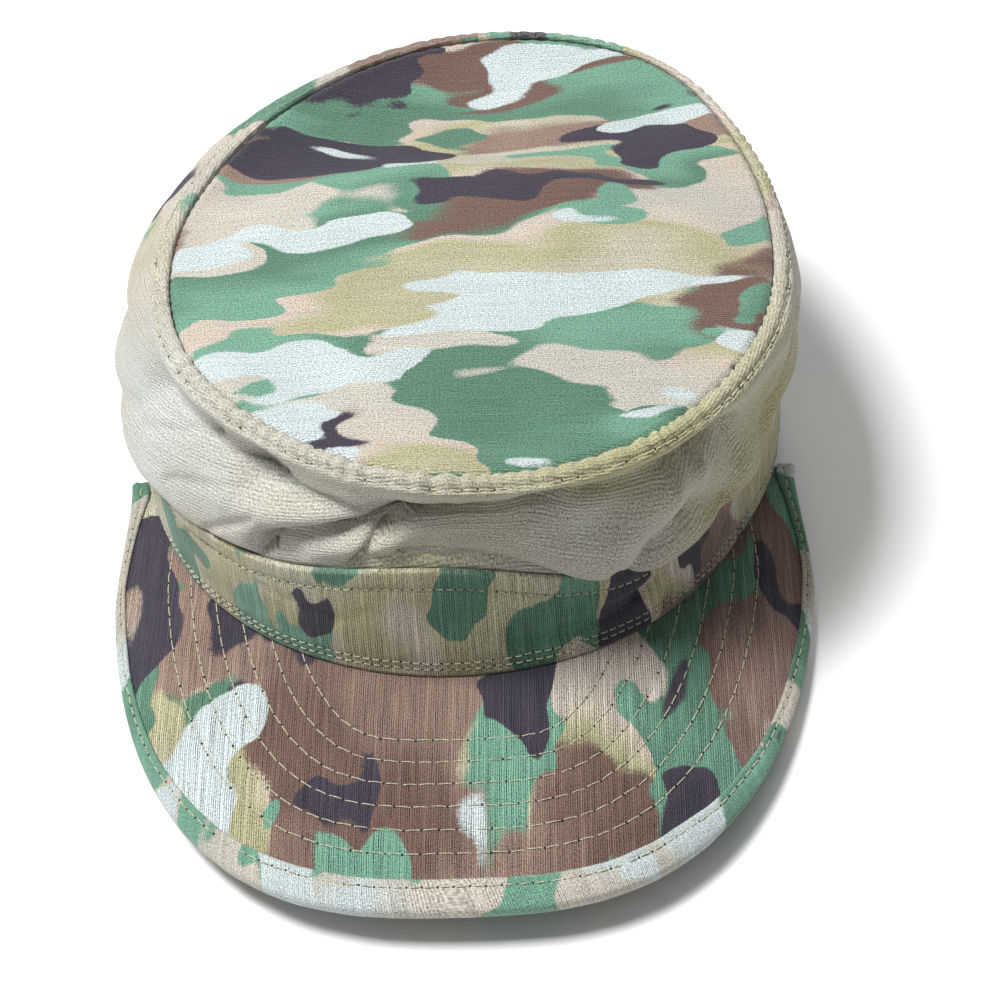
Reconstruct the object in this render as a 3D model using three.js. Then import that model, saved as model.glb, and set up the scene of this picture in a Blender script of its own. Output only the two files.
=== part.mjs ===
// Patrol cap of printed cotton ripstop: a soft crown over a sewn band, with a bound peak.
// Millimetres, +Z up, the front of the cap faces -Y, and the cap rests on the plane z = 0.
// Angles run round the crown from the front, positive towards +X.
import * as THREE from 'three';

// Head opening, measured at the outside of the band
const headHalfWidth = 90;
const headHalfLength = 101.8;

// Lower rim: flat behind, rising to the front where the peak carries it
const rimLift = 19.8;
const rimFlatShare = 0.6;
const rimCurve = 1.4;

// Band
const bandHeight = 35.5;
const bandCloth = 1.6;
const bandLean = 4;

// Crown: its top edge is an oval, higher in front and pushed a little to one side
const crownHalfWidth = 81;
const crownHalfLength = 95;
const crownShiftX = 8;
const crownShiftY = 2;
const crownFrontHeight = 84;
const crownBackHeight = 74.6;
const crownCloth = 1.3;
const hemTuck = 10;
const shoulderWidth = 3.8;
const shoulderDrop = 1.6;
const wallBulge = 9;
const seamTurn = 3;

// Top panel
const topDome = 3;
const ridgeDrop = 8;
const ridgeSlope = 20;
const ridgeRise = 1.6;

// Peak and its binding
const peakFlare = 5.7;
const peakReach = 66;
const peakShiftX = 1.8;
const peakStart = 10.3;
const peakSideSquareness = 2.74;
const peakFrontSquareness = 2.45;
const peakThickness = 3;
const peakEdgeThickness = 2;
const peakFrontHeight = 11;
const peakDroop = 3;
const peakArchHeight = 2.2;
const peakEndDegrees = 80;
const peakEndWidth = 4.5;
const bindingWidth = 7.5;
const bindingCloth = 1;

// Folds are pressed this deep and wide where their share is one
const foldDepth = 4;
const foldWidth = 9;

// Space left between neighbouring pieces
const gap = 0.3;

// Facets
const facetsAround = 76;
const wallFacets = 12;
const bandFacets = 3;
const topFacets = 11;
const peakFacetsAlong = 40;
const peakFacetsDeep = 7;

// Stations round the cap, every length as a share.
// foot: reach of the band's foot, of the head oval. lean: outwards lean of the band, of bandLean.
// tall: of bandHeight. seam: reach of the top edge, of the crown oval. shoulder: of shoulderWidth.
// bulge: how far the wall swells, of wallBulge. sag: how low the swell hangs, of the free wall.
const stations = [
  { degrees: -180, foot: 1.0, lean: -0.3, tall: 1.0, seam: 1.0, shoulder: 0.7, bulge: 0.3, sag: 0.1 },
  { degrees: -150, foot: 0.99, lean: 0.1, tall: 1.0, seam: 0.95, shoulder: 1.3, bulge: 0.45, sag: 0.1 },
  { degrees: -120, foot: 0.98, lean: 0.3, tall: 0.95, seam: 0.95, shoulder: 1.5, bulge: 0.8, sag: 0.1 },
  { degrees: -90, foot: 0.985, lean: 0.3, tall: 0.86, seam: 0.99, shoulder: 1.2, bulge: 0.7, sag: 0.1 },
  { degrees: -60, foot: 0.97, lean: 0.6, tall: 0.88, seam: 1.015, shoulder: 1.1, bulge: 0.45, sag: 0.2 },
  { degrees: -30, foot: 0.985, lean: 0.1, tall: 0.87, seam: 0.99, shoulder: 1.0, bulge: 0.35, sag: 0.25 },
  { degrees: 0, foot: 0.995, lean: -0.8, tall: 1.0, seam: 0.995, shoulder: 1.0, bulge: 0.35, sag: 0.2 },
  { degrees: 30, foot: 0.995, lean: -0.7, tall: 0.63, seam: 1.02, shoulder: 1.0, bulge: 0.4, sag: 0.15 },
  { degrees: 60, foot: 0.975, lean: -0.2, tall: 0.97, seam: 1.01, shoulder: 1.0, bulge: 0.4, sag: 0.15 },
  { degrees: 90, foot: 1.01, lean: 0.2, tall: 1.0, seam: 0.975, shoulder: 0.8, bulge: 0.35, sag: 0.1 },
  { degrees: 120, foot: 0.985, lean: 0, tall: 1.0, seam: 0.985, shoulder: 0.4, bulge: 0.2, sag: 0.1 },
  { degrees: 150, foot: 0.99, lean: -0.1, tall: 1.0, seam: 1.045, shoulder: 0.3, bulge: 0.2, sag: 0.1 },
];

// The wall from its emergence at the band (rise 0) to the shoulder (rise 1).
// toSeam: how far the reach has gone over from the band's to the shoulder's.
const wallProfile = [
  { rise: 0, toSeam: 0, swell: 0 },
  { rise: 0.18, toSeam: 0.2, swell: 0.5 },
  { rise: 0.45, toSeam: 0.45, swell: 0.95 },
  { rise: 0.75, toSeam: 0.75, swell: 1 },
  { rise: 0.93, toSeam: 0.95, swell: 0.55 },
  { rise: 1, toSeam: 1, swell: 0 },
];

// Folds of the wall, each a straight run from one angle and share of the free height to
// another. depth is a share of foldDepth, inwards when positive, and width of foldWidth.
const wallFolds = [
  { from: -60, fromShare: 0.85, to: -34, toShare: 0.78, depth: 0.8, width: 0.7 },
  { from: -34, fromShare: 0.78, to: -12, toShare: 0.64, depth: 0.8, width: 0.7 },
  { from: -28, fromShare: 0.2, to: -10, toShare: 0.6, depth: 0.6, width: 0.5 },
  { from: -36, fromShare: 0.5, to: -16, toShare: 0.55, depth: -0.4, width: 0.6 },
  { from: -10, fromShare: 0.66, to: 12, toShare: 0.76, depth: 1.0, width: 0.8 },
  { from: 12, fromShare: 0.76, to: 40, toShare: 0.76, depth: 1.1, width: 0.8 },
  { from: 40, fromShare: 0.76, to: 60, toShare: 0.5, depth: 0.8, width: 0.8 },
  { from: 26, fromShare: 0.1, to: 48, toShare: 0.42, depth: 0.5, width: 0.6 },
  { from: 95, fromShare: 0.3, to: 125, toShare: 0.6, depth: 0.6, width: 1 },
  { from: 150, fromShare: 0.5, to: 185, toShare: 0.3, depth: 0.7, width: 1 },
  { from: -150, fromShare: 0.6, to: -120, toShare: 0.35, depth: 0.6, width: 1 },
];

// Folds of the band, by angle and share of its height
const bandFolds = [
  { from: 12, fromShare: 0.3, to: 30, toShare: 0.5, depth: 0.3, width: 0.5 },
  { from: 30, fromShare: 0.5, to: 42, toShare: 0.95, depth: 0.35, width: 0.5 },
];

// Folds of the top panel, in shares of the crown's half width and half length
// from its middle. depth and width are shares as above.
const topFolds = [
  { fromX: -0.75, fromY: -0.35, toX: -0.55, toY: -0.62, depth: 0.35, width: 1.2 },
  { fromX: -0.2, fromY: -0.45, toX: 0.1, toY: -0.5, depth: -0.25, width: 1.8 },
  { fromX: 0.35, fromY: -0.3, toX: 0.6, toY: -0.5, depth: 0.3, width: 1.6 },
  { fromX: -0.3, fromY: 0.62, toX: 0.05, toY: 0.72, depth: 0.35, width: 0.9 },
  { fromX: 0.3, fromY: 0.55, toX: 0.65, toY: 0.4, depth: -0.3, width: 1.4 },
];

// The ridge that crosses the top panel, in the same shares, from left to right.
// drop: how much of ridgeDrop the cloth falls behind it.
const ridgeRoute = [
  { x: -1.1, y: -0.1, drop: 0.3 },
  { x: -0.9, y: 0.08, drop: 0.9 },
  { x: -0.7, y: 0.17, drop: 1 },
  { x: -0.48, y: 0.25, drop: 1 },
  { x: -0.25, y: 0.28, drop: 1 },
  { x: 0.0, y: 0.27, drop: 0.9 },
  { x: 0.3, y: 0.23, drop: 0.7 },
  { x: 0.55, y: 0.14, drop: 0.45 },
  { x: 0.8, y: 0.02, drop: 0.2 },
  { x: 1.1, y: -0.05, drop: 0 },
];

// Width of the binding on the upper side, by share of the way from the front to an end
const bindingStations = [
  { at: 0, width: 1 },
  { at: 0.35, width: 0.95 },
  { at: 0.6, width: 0.8 },
  { at: 0.8, width: 0.68 },
  { at: 1, width: 0.5 },
];

const radians = (degrees) => degrees * Math.PI / 180;
const lerp = THREE.MathUtils.lerp;
const clamp = THREE.MathUtils.clamp;
const smoothstep = THREE.MathUtils.smoothstep;

// Smooth curve through four values, for t between the middle two
function catmullRom(a, b, c, d, t) {
  const bend = 2 * a - 5 * b + 4 * c - d;
  const twist = 3 * b - a - 3 * c + d;
  return 0.5 * (2 * b + (c - a) * t + bend * t * t + twist * t * t * t);
}

// Value of a column at a place along a table whose rows are in order
function along(rows, key, column, place) {
  const last = rows.length - 1;
  const held = clamp(place, rows[0][key], rows[last][key]);
  let i = 0;
  while (i < last - 1 && rows[i + 1][key] < held) {
    i += 1;
  }
  const t = (held - rows[i][key]) / (rows[i + 1][key] - rows[i][key]);
  const before = rows[Math.max(i - 1, 0)][column];
  const after = rows[Math.min(i + 2, last)][column];
  return catmullRom(before, rows[i][column], rows[i + 1][column], after, t);
}

// The same for the evenly spaced stations, which close round the cap
function stationShare(column, angle) {
  const count = stations.length;
  const degrees = THREE.MathUtils.radToDeg(angle) - stations[0].degrees;
  const place = THREE.MathUtils.euclideanModulo(degrees / 360 * count, count);
  const i = Math.floor(place);
  const value = (k) => stations[(i + k + count) % count][column];
  return catmullRom(value(-1), value(0), value(1), value(2), place - i);
}

function ovalReach(angle, halfWidth, halfLength) {
  return 1 / Math.hypot(Math.sin(angle) / halfWidth, Math.cos(angle) / halfLength);
}

// Depth of a pressed line at a point, both in the same flat measure
function pressed(x, y, fold, depth, width) {
  const runX = fold.toX - fold.fromX;
  const runY = fold.toY - fold.fromY;
  const share = ((x - fold.fromX) * runX + (y - fold.fromY) * runY) / (runX * runX + runY * runY);
  const held = clamp(share, 0, 1);
  const away = Math.hypot(x - fold.fromX - held * runX, y - fold.fromY - held * runY);
  return depth * Math.exp(-((away / width) ** 2));
}

// Depth of all the folds of an upright wall of this height, at an angle and a share of the height
function foldsDepth(folds, angle, share, height) {
  let depth = 0;
  for (const fold of folds) {
    const middle = radians(fold.from + fold.to) / 2;
    const turned = THREE.MathUtils.euclideanModulo(angle - middle + Math.PI, 2 * Math.PI) - Math.PI;
    const run = {
      fromX: (radians(fold.from) - middle) * headHalfLength,
      fromY: fold.fromShare * height,
      toX: (radians(fold.to) - middle) * headHalfLength,
      toY: fold.toShare * height,
    };
    const x = turned * headHalfLength;
    depth += pressed(x, share * height, run, foldDepth * fold.depth, foldWidth * fold.width);
  }
  return depth;
}

function rimHeight(y) {
  const flatTo = rimFlatShare * headHalfLength;
  return rimLift * clamp((flatTo - y) / (flatTo + headHalfLength), 0, 1) ** rimCurve;
}

// Outside of the band by angle and share of its height, less an inset
function bandPoint(angle, share, inset) {
  const foot = stationShare('foot', angle) * ovalReach(angle, headHalfWidth, headHalfLength);
  const lean = bandLean * stationShare('lean', angle) * share;
  const hemShare = 1 - hemTuck / bandHeight;
  const dent = foldsDepth(bandFolds, angle, share, bandHeight) * (1 - smoothstep(share, hemShare - 0.25, hemShare));
  const reach = foot + lean - dent - inset;
  const base = rimHeight(-foot * Math.cos(angle));
  const height = base + share * bandHeight * stationShare('tall', angle);
  return new THREE.Vector3(reach * Math.sin(angle), -reach * Math.cos(angle), height);
}

function seamReach(angle) {
  return stationShare('seam', angle) * ovalReach(angle, crownHalfWidth, crownHalfLength);
}

// How far the wall's shoulder stands outside the top edge
function shoulderReach(angle) {
  return gap + crownCloth + shoulderWidth * stationShare('shoulder', angle);
}

function crownHeight(y) {
  const share = (y - crownShiftY + crownHalfLength) / (2 * crownHalfLength);
  return lerp(crownFrontHeight, crownBackHeight, share);
}

// A point of the crown's top edge, pushed outwards and down
function seamPoint(angle, outwards, down) {
  const reach = seamReach(angle) + outwards;
  const x = crownShiftX + reach * Math.sin(angle);
  const y = crownShiftY - reach * Math.cos(angle);
  return new THREE.Vector3(x, y, crownHeight(y) - down);
}

// Outside of the crown's wall by angle and rise, from the band's top to the shoulder
function wallPoint(angle, rise) {
  const foot = bandPoint(angle, 1, bandCloth + gap);
  const shoulder = seamPoint(angle, shoulderReach(angle), shoulderDrop);
  const lifted = clamp(rise + stationShare('sag', angle) * Math.sin(Math.PI * rise), 0, 1);
  const swell = wallBulge * stationShare('bulge', angle) * along(wallProfile, 'rise', 'swell', lifted);
  const point = foot.clone().lerp(shoulder, along(wallProfile, 'rise', 'toSeam', rise));
  point.z = lerp(foot.z, shoulder.z, rise);
  point.x += swell * Math.sin(angle);
  point.y -= swell * Math.cos(angle);
  return point;
}

function wallFoldDepth(angle, rise) {
  const freeHeight = crownFrontHeight - rimLift - bandHeight;
  const depth = foldsDepth(wallFolds, angle, rise, freeHeight);
  return depth * smoothstep(rise, 0, 0.12) * (1 - smoothstep(rise, 0.85, 1));
}

// Height of the top panel by angle and share of the way from its middle to the seam
function topPoint(angle, share) {
  const edge = seamPoint(angle, -gap, 0);
  const x = lerp(crownShiftX, edge.x, share);
  const y = lerp(crownShiftY, edge.y, share);
  const shareX = (x - crownShiftX) / crownHalfWidth;
  const shareY = (y - crownShiftY) / crownHalfLength;
  const behind = (shareY - along(ridgeRoute, 'x', 'y', shareX)) * crownHalfLength;
  const drop = ridgeDrop * clamp(along(ridgeRoute, 'x', 'drop', shareX), 0, 1);
  const rise = ridgeRise * Math.exp(-((behind / ridgeSlope) ** 2)) * drop / ridgeDrop;
  let height = topDome * (1 - share * share) + rise - drop * smoothstep(behind, 0, ridgeSlope);
  for (const fold of topFolds) {
    const run = {
      fromX: fold.fromX * crownHalfWidth,
      fromY: fold.fromY * crownHalfLength,
      toX: fold.toX * crownHalfWidth,
      toY: fold.toY * crownHalfLength,
    };
    const flatX = shareX * crownHalfWidth;
    const flatY = shareY * crownHalfLength;
    height -= pressed(flatX, flatY, run, foldDepth * fold.depth, foldWidth * fold.width);
  }
  return new THREE.Vector3(x, y, crownHeight(y) + height * (1 - share ** 6));
}

// Inner edge of the peak's middle layer, just under the band
function peakJoint(end) {
  const joint = bandPoint(radians(peakEndDegrees) * end, 0, bandCloth);
  joint.z -= gap + peakThickness / 2;
  return joint;
}

// Outer edge of the peak's middle layer, drawn in to the band at both ends
function peakOutline(end) {
  const sweep = end * Math.PI / 2;
  const depth = headHalfLength + peakReach - peakStart;
  const halfWidth = headHalfWidth + peakFlare;
  const outline = new THREE.Vector3();
  outline.x = halfWidth * Math.sign(end) * Math.abs(Math.sin(sweep)) ** (2 / peakSideSquareness);
  outline.y = -peakStart - depth * Math.abs(Math.cos(sweep)) ** (2 / peakFrontSquareness);
  const sideHeight = gap + bindingCloth + 0.05 * peakEdgeThickness;
  const sideShare = clamp(Math.abs(outline.x) / halfWidth, 0, 1) ** peakDroop;
  outline.x += peakShiftX;
  outline.z = lerp(peakFrontHeight, sideHeight, sideShare);
  const meeting = bandPoint(radians(peakEndDegrees) * end, 0, -peakEndWidth);
  meeting.z -= gap + peakThickness / 2;
  return outline.lerp(meeting, smoothstep(Math.abs(end), 0.84, 1));
}

// Middle layer of the peak: end runs from -1 at the left end to 1 at the right,
// out from 0 under the band to 1 at the outline
function peakPoint(end, out) {
  const joint = peakJoint(end);
  const outline = peakOutline(end);
  const width = joint.distanceTo(outline);
  const free = clamp((out * width - bandCloth) / (width - bandCloth), 0, 1);
  const point = joint.lerp(outline, out);
  point.z += peakArchHeight * width / peakReach * 4 * free * (1 - free);
  return point;
}

// Upward direction of the peak, turned upright where it meets the band
function peakNormal(end, out) {
  const step = 0.01;
  const width = peakJoint(end).distanceTo(peakOutline(end));
  const sideways = peakPoint(Math.min(end + step, 1), out).sub(peakPoint(Math.max(end - step, -1), out));
  const inwards = peakPoint(end, Math.max(out - step, 0)).sub(peakPoint(end, Math.min(out + step, 1)));
  const normal = sideways.cross(inwards).normalize();
  return new THREE.Vector3(0, 0, 1).lerp(normal, smoothstep(out * width, bandCloth, 3 * bandCloth)).normalize();
}

// How far the binding reaches in from the outline
function bindingLeg(end) {
  const width = peakJoint(end).distanceTo(peakOutline(end));
  const share = along(bindingStations, 'at', 'width', Math.abs(end));
  return Math.min(bindingWidth * share, width - bandCloth - 2 * gap);
}

// A point on the upper (side 1) or lower (side -1) face of the peak
function peakFace(end, out, side) {
  const back = (1 - out) * peakJoint(end).distanceTo(peakOutline(end));
  const leg = bindingLeg(end);
  const thickness = lerp(peakEdgeThickness, peakThickness, smoothstep(back, leg + bandCloth, 2 * bindingWidth));
  return peakPoint(end, out).addScaledVector(peakNormal(end, out), side * thickness / 2);
}

// Turns rings or rows of points into triangles, closing them round where asked
class ClothMesh {
  constructor() {
    this.positions = [];
    this.triangles = [];
  }

  addRow(points) {
    const start = this.positions.length / 3;
    for (const point of points) {
      this.positions.push(point.x, point.y, point.z);
    }
    return points.map((point, i) => start + i);
  }

  // Faces between two rows; they point to the left of the way from a to b
  bridge(a, b, closed) {
    const count = closed ? a.length : a.length - 1;
    for (let i = 0; i < count; i += 1) {
      const next = (i + 1) % a.length;
      this.triangles.push(a[i], a[next], b[next]);
      this.triangles.push(a[i], b[next], b[i]);
    }
  }

  // Faces that close a ring over one point
  fan(ring, centre) {
    for (let i = 0; i < ring.length; i += 1) {
      this.triangles.push(ring[i], ring[(i + 1) % ring.length], centre);
    }
  }

  geometry() {
    const shape = new THREE.BufferGeometry();
    shape.setAttribute('position', new THREE.Float32BufferAttribute(this.positions, 3));
    shape.setIndex(this.triangles);
    shape.computeVertexNormals();
    return shape;
  }
}

// Outward directions of a grid of rows, from the neighbours of each point
function gridNormals(rows, closed) {
  return rows.map((row, j) => row.map((point, i) => {
    const count = row.length;
    const left = closed ? row[(i + count - 1) % count] : row[Math.max(i - 1, 0)];
    const right = closed ? row[(i + 1) % count] : row[Math.min(i + 1, count - 1)];
    const below = rows[Math.max(j - 1, 0)][i];
    const above = rows[Math.min(j + 1, rows.length - 1)][i];
    const sideways = new THREE.Vector3().subVectors(right, left);
    const upwards = new THREE.Vector3().subVectors(above, below);
    return sideways.cross(upwards).normalize();
  }));
}

function offsetRows(rows, normals, distance) {
  return rows.map((row, j) => row.map((point, i) => {
    return point.clone().addScaledVector(normals[j][i], distance);
  }));
}

// A closed cloth wall from rings of its outside, lowest first
function ringShell(outside, inside) {
  const mesh = new ClothMesh();
  const outer = outside.map((row) => mesh.addRow(row));
  const inner = inside.map((row) => mesh.addRow(row));
  const top = outer.length - 1;
  for (let j = 0; j < top; j += 1) {
    mesh.bridge(outer[j], outer[j + 1], true);
    mesh.bridge(inner[j + 1], inner[j], true);
  }
  mesh.bridge(outer[top], inner[top], true);
  mesh.bridge(inner[0], outer[0], true);
  return mesh.geometry();
}

function ringAngles() {
  return Array.from({ length: facetsAround }, (unused, i) => i / facetsAround * 2 * Math.PI - Math.PI);
}

function makeBand() {
  const outside = [];
  const inside = [];
  for (let j = 0; j <= bandFacets; j += 1) {
    const share = j / bandFacets;
    outside.push(ringAngles().map((angle) => bandPoint(angle, share, 0)));
    inside.push(ringAngles().map((angle) => bandPoint(angle, share, bandCloth)));
  }
  return ringShell(outside, inside);
}

function makeCrownWall() {
  const rows = [];
  rows.push(ringAngles().map((angle) => {
    return bandPoint(angle, 1 - hemTuck / bandHeight, bandCloth + gap);
  }));
  for (let j = 0; j <= wallFacets - 4; j += 1) {
    const rise = j / (wallFacets - 4);
    rows.push(ringAngles().map((angle) => wallPoint(angle, rise)));
  }
  const lip = (angle, share) => lerp(gap, shoulderReach(angle), share);
  rows.push(ringAngles().map((angle) => seamPoint(angle, lip(angle, 0.6), shoulderDrop * 0.25)));
  rows.push(ringAngles().map((angle) => seamPoint(angle, lip(angle, 0.2), 0)));
  rows.push(ringAngles().map((angle) => seamPoint(angle, gap, shoulderDrop * 0.5)));
  const normals = gridNormals(rows, true);
  const folded = rows.map((row, j) => row.map((point, i) => {
    const rise = (j - 1) / (wallFacets - 4);
    const depth = rise >= 0 && rise <= 1 ? wallFoldDepth(ringAngles()[i], rise) : 0;
    return point.addScaledVector(normals[j][i], -depth);
  }));
  const inside = offsetRows(folded, gridNormals(folded, true), -crownCloth);
  const turned = ringAngles().map((angle) => seamPoint(angle, gap, seamTurn));
  const turnedInside = ringAngles().map((angle) => seamPoint(angle, gap + crownCloth, seamTurn));
  folded.push(turned);
  inside[inside.length - 1] = ringAngles().map((angle) => seamPoint(angle, gap + crownCloth, crownCloth + gap));
  inside.push(turnedInside);
  return ringShell(folded, inside);
}

function makeCrownTop() {
  const mesh = new ClothMesh();
  const middle = topPoint(0, 0);
  const outside = [];
  for (let j = topFacets; j >= 1; j -= 1) {
    outside.push(ringAngles().map((angle) => topPoint(angle, j / topFacets)));
  }
  const inside = outside.map((row) => row.map((point) => {
    return point.clone().add(new THREE.Vector3(0, 0, -crownCloth));
  }));
  inside[0] = ringAngles().map((angle) => seamPoint(angle, -gap - crownCloth, crownCloth));
  const outer = outside.map((row) => mesh.addRow(row));
  const inner = inside.map((row) => mesh.addRow(row));
  for (let j = 0; j < outer.length - 1; j += 1) {
    mesh.bridge(outer[j], outer[j + 1], true);
    mesh.bridge(inner[j + 1], inner[j], true);
  }
  const turned = mesh.addRow(ringAngles().map((angle) => seamPoint(angle, -gap, seamTurn)));
  const turnedInside = mesh.addRow(ringAngles().map((angle) => seamPoint(angle, -gap - crownCloth, seamTurn)));
  mesh.bridge(turned, outer[0], true);
  mesh.bridge(turnedInside, turned, true);
  mesh.bridge(inner[0], turnedInside, true);
  const [crownMiddle] = mesh.addRow([middle]);
  const [underMiddle] = mesh.addRow([middle.clone().add(new THREE.Vector3(0, 0, -crownCloth))]);
  mesh.fan(outer[outer.length - 1], crownMiddle);
  mesh.fan(inner[inner.length - 1].slice().reverse(), underMiddle);
  return mesh.geometry();
}

// Places along the peak from its left end to its right
function peakEnds() {
  return Array.from({ length: peakFacetsAlong + 1 }, (unused, i) => 2 * i / peakFacetsAlong - 1);
}

function makePeak() {
  const mesh = new ClothMesh();
  const upper = [];
  const lower = [];
  for (let j = 0; j <= peakFacetsDeep; j += 1) {
    const out = j / peakFacetsDeep;
    upper.push(mesh.addRow(peakEnds().map((end) => peakFace(end, out, 1))));
    lower.push(mesh.addRow(peakEnds().map((end) => peakFace(end, out, -1))));
  }
  const last = upper.length - 1;
  for (let j = 0; j < last; j += 1) {
    mesh.bridge(upper[j + 1], upper[j], false);
    mesh.bridge(lower[j], lower[j + 1], false);
  }
  mesh.bridge(upper[0], lower[0], false);
  mesh.bridge(lower[last], upper[last], false);
  const side = (grid, i) => grid.map((row) => row[i]);
  mesh.bridge(side(lower, 0), side(upper, 0), false);
  mesh.bridge(side(upper, peakFacetsAlong), side(lower, peakFacetsAlong), false);
  return mesh.geometry();
}

// One face of the binding at a place along the peak's edge: in from above, round and under.
// lift is its distance from the peak's middle layer, and forward that from the outline.
function bindingFace(end, lift, forward) {
  const width = peakJoint(end).distanceTo(peakOutline(end));
  const leg = bindingLeg(end);
  const outwards = peakPoint(end, 1).sub(peakPoint(end, 0.9)).normalize();
  const round = Math.SQRT1_2;
  const place = (back, height) => {
    const out = 1 - Math.max(back, 0) / width;
    const point = peakPoint(end, out).addScaledVector(peakNormal(end, out), height);
    return point.addScaledVector(outwards, Math.max(-back, 0));
  };
  return [
    place(leg, lift),
    place(leg / 2, lift),
    place(0, lift),
    place(-round * forward, round * lift),
    place(-forward, 0),
    place(-round * forward, -round * lift),
    place(0, -lift),
    place(leg / 2, -lift),
    place(leg, -lift),
  ];
}

function makeBinding() {
  const mesh = new ClothMesh();
  const near = peakEdgeThickness / 2 + gap;
  const outer = [];
  const inner = [];
  for (const end of peakEnds()) {
    outer.push(mesh.addRow(bindingFace(end, near + bindingCloth, gap + bindingCloth)));
    inner.push(mesh.addRow(bindingFace(end, near, gap)));
  }
  const last = outer[0].length - 1;
  for (let i = 0; i < peakFacetsAlong; i += 1) {
    mesh.bridge(outer[i], outer[i + 1], false);
    mesh.bridge(inner[i + 1], inner[i], false);
  }
  const rim = (grid, k) => grid.map((row) => row[k]);
  mesh.bridge(rim(outer, 0), rim(inner, 0), false);
  mesh.bridge(rim(inner, last), rim(outer, last), false);
  mesh.bridge(inner[0], outer[0], false);
  mesh.bridge(outer[peakFacetsAlong], inner[peakFacetsAlong], false);
  return mesh.geometry();
}

const pieces = [
  { name: 'crown_top', shape: makeCrownTop(), colour: 0xa9ab96, roughness: 0.92 },
  { name: 'crown_wall', shape: makeCrownWall(), colour: 0xa69c84, roughness: 0.92 },
  { name: 'band', shape: makeBand(), colour: 0x8f8a6e, roughness: 0.92 },
  { name: 'peak', shape: makePeak(), colour: 0x7d7560, roughness: 0.92 },
  { name: 'peak_binding', shape: makeBinding(), colour: 0x9aa08e, roughness: 0.92 },
];

const cap = new THREE.Group();
for (const piece of pieces) {
  const cloth = new THREE.MeshStandardMaterial({
    color: piece.colour,
    roughness: piece.roughness,
    metalness: 0,
    side: THREE.DoubleSide,
  });
  const mesh = new THREE.Mesh(piece.shape, cloth);
  mesh.name = piece.name;
  cap.add(mesh);
}

// The cap's origin is the middle of its footprint
const box = new THREE.Box3().setFromObject(cap);
const group = new THREE.Group();
cap.position.set(-(box.min.x + box.max.x) / 2, -(box.min.y + box.max.y) / 2, -box.min.z);
group.add(cap);

export default group;
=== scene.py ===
# Patrol cap of printed ripstop cotton, lying as it does on a table.
# Lengths are millimetres in the cap's own frame, and become metres when a mesh is made.
import math

import bpy
import numpy as np
from mathutils import Matrix, Vector
from mathutils.bvhtree import BVHTree


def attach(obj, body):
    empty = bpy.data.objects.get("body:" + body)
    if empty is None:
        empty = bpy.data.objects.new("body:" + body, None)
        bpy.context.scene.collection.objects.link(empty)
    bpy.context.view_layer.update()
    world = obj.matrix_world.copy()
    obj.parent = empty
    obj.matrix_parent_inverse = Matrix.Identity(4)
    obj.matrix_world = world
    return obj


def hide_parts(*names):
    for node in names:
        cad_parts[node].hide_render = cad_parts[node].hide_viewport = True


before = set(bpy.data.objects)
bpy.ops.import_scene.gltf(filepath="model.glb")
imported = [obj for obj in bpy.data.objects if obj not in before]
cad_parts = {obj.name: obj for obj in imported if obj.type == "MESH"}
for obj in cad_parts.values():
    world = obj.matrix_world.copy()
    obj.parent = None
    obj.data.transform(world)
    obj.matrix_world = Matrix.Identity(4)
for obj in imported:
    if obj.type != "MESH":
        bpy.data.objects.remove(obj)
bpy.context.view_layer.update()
print("frame loaded")

head = {
    "halfWidth": 90.0, "halfLength": 101.8,             # opening, at the outside of the band
    "rimLift": 19.8, "rimFlat": 0.6, "rimCurve": 1.4,   # the front of the rim is carried by the peak
    "gap": 0.3,
    "middle": (-1.748, 33.286, 0.0),                    # the head's middle seen from the footprint's
}

view = {
    "azimuth": 3.09, "elevation": 45.73, "roll": -3.95,
    "target": (11.38, -20.0, 0.265), "distance": 726.24, "lens": 92.43,
}


def smoothstep(x, low, high):
    t = np.clip((x - low) / (high - low), 0, 1)
    return t * t * (3 - 2 * t)


def makeCamera():
    az, el, roll = (math.radians(view[k]) for k in ("azimuth", "elevation", "roll"))
    back = Vector((math.sin(az) * math.cos(el), -math.cos(az) * math.cos(el), math.sin(el)))
    right = Vector((0, 0, 1)).cross(back).normalized()
    up = back.cross(right)
    turnedRight = right * math.cos(roll) + up * math.sin(roll)
    turnedUp = up * math.cos(roll) - right * math.sin(roll)
    place = Vector(view["target"]) + back * view["distance"] + Vector(head["middle"])
    camera = bpy.data.objects.new("camera", bpy.data.cameras.new("camera"))
    camera.data.sensor_width = 36
    camera.data.lens = view["lens"]
    turn = Matrix((turnedRight, turnedUp, back)).transposed()
    camera.matrix_world = Matrix.Translation(place * 0.001) @ turn.to_4x4()
    bpy.context.scene.collection.objects.link(camera)
    bpy.context.scene.camera = camera


makeCamera()
print("camera placed")

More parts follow.
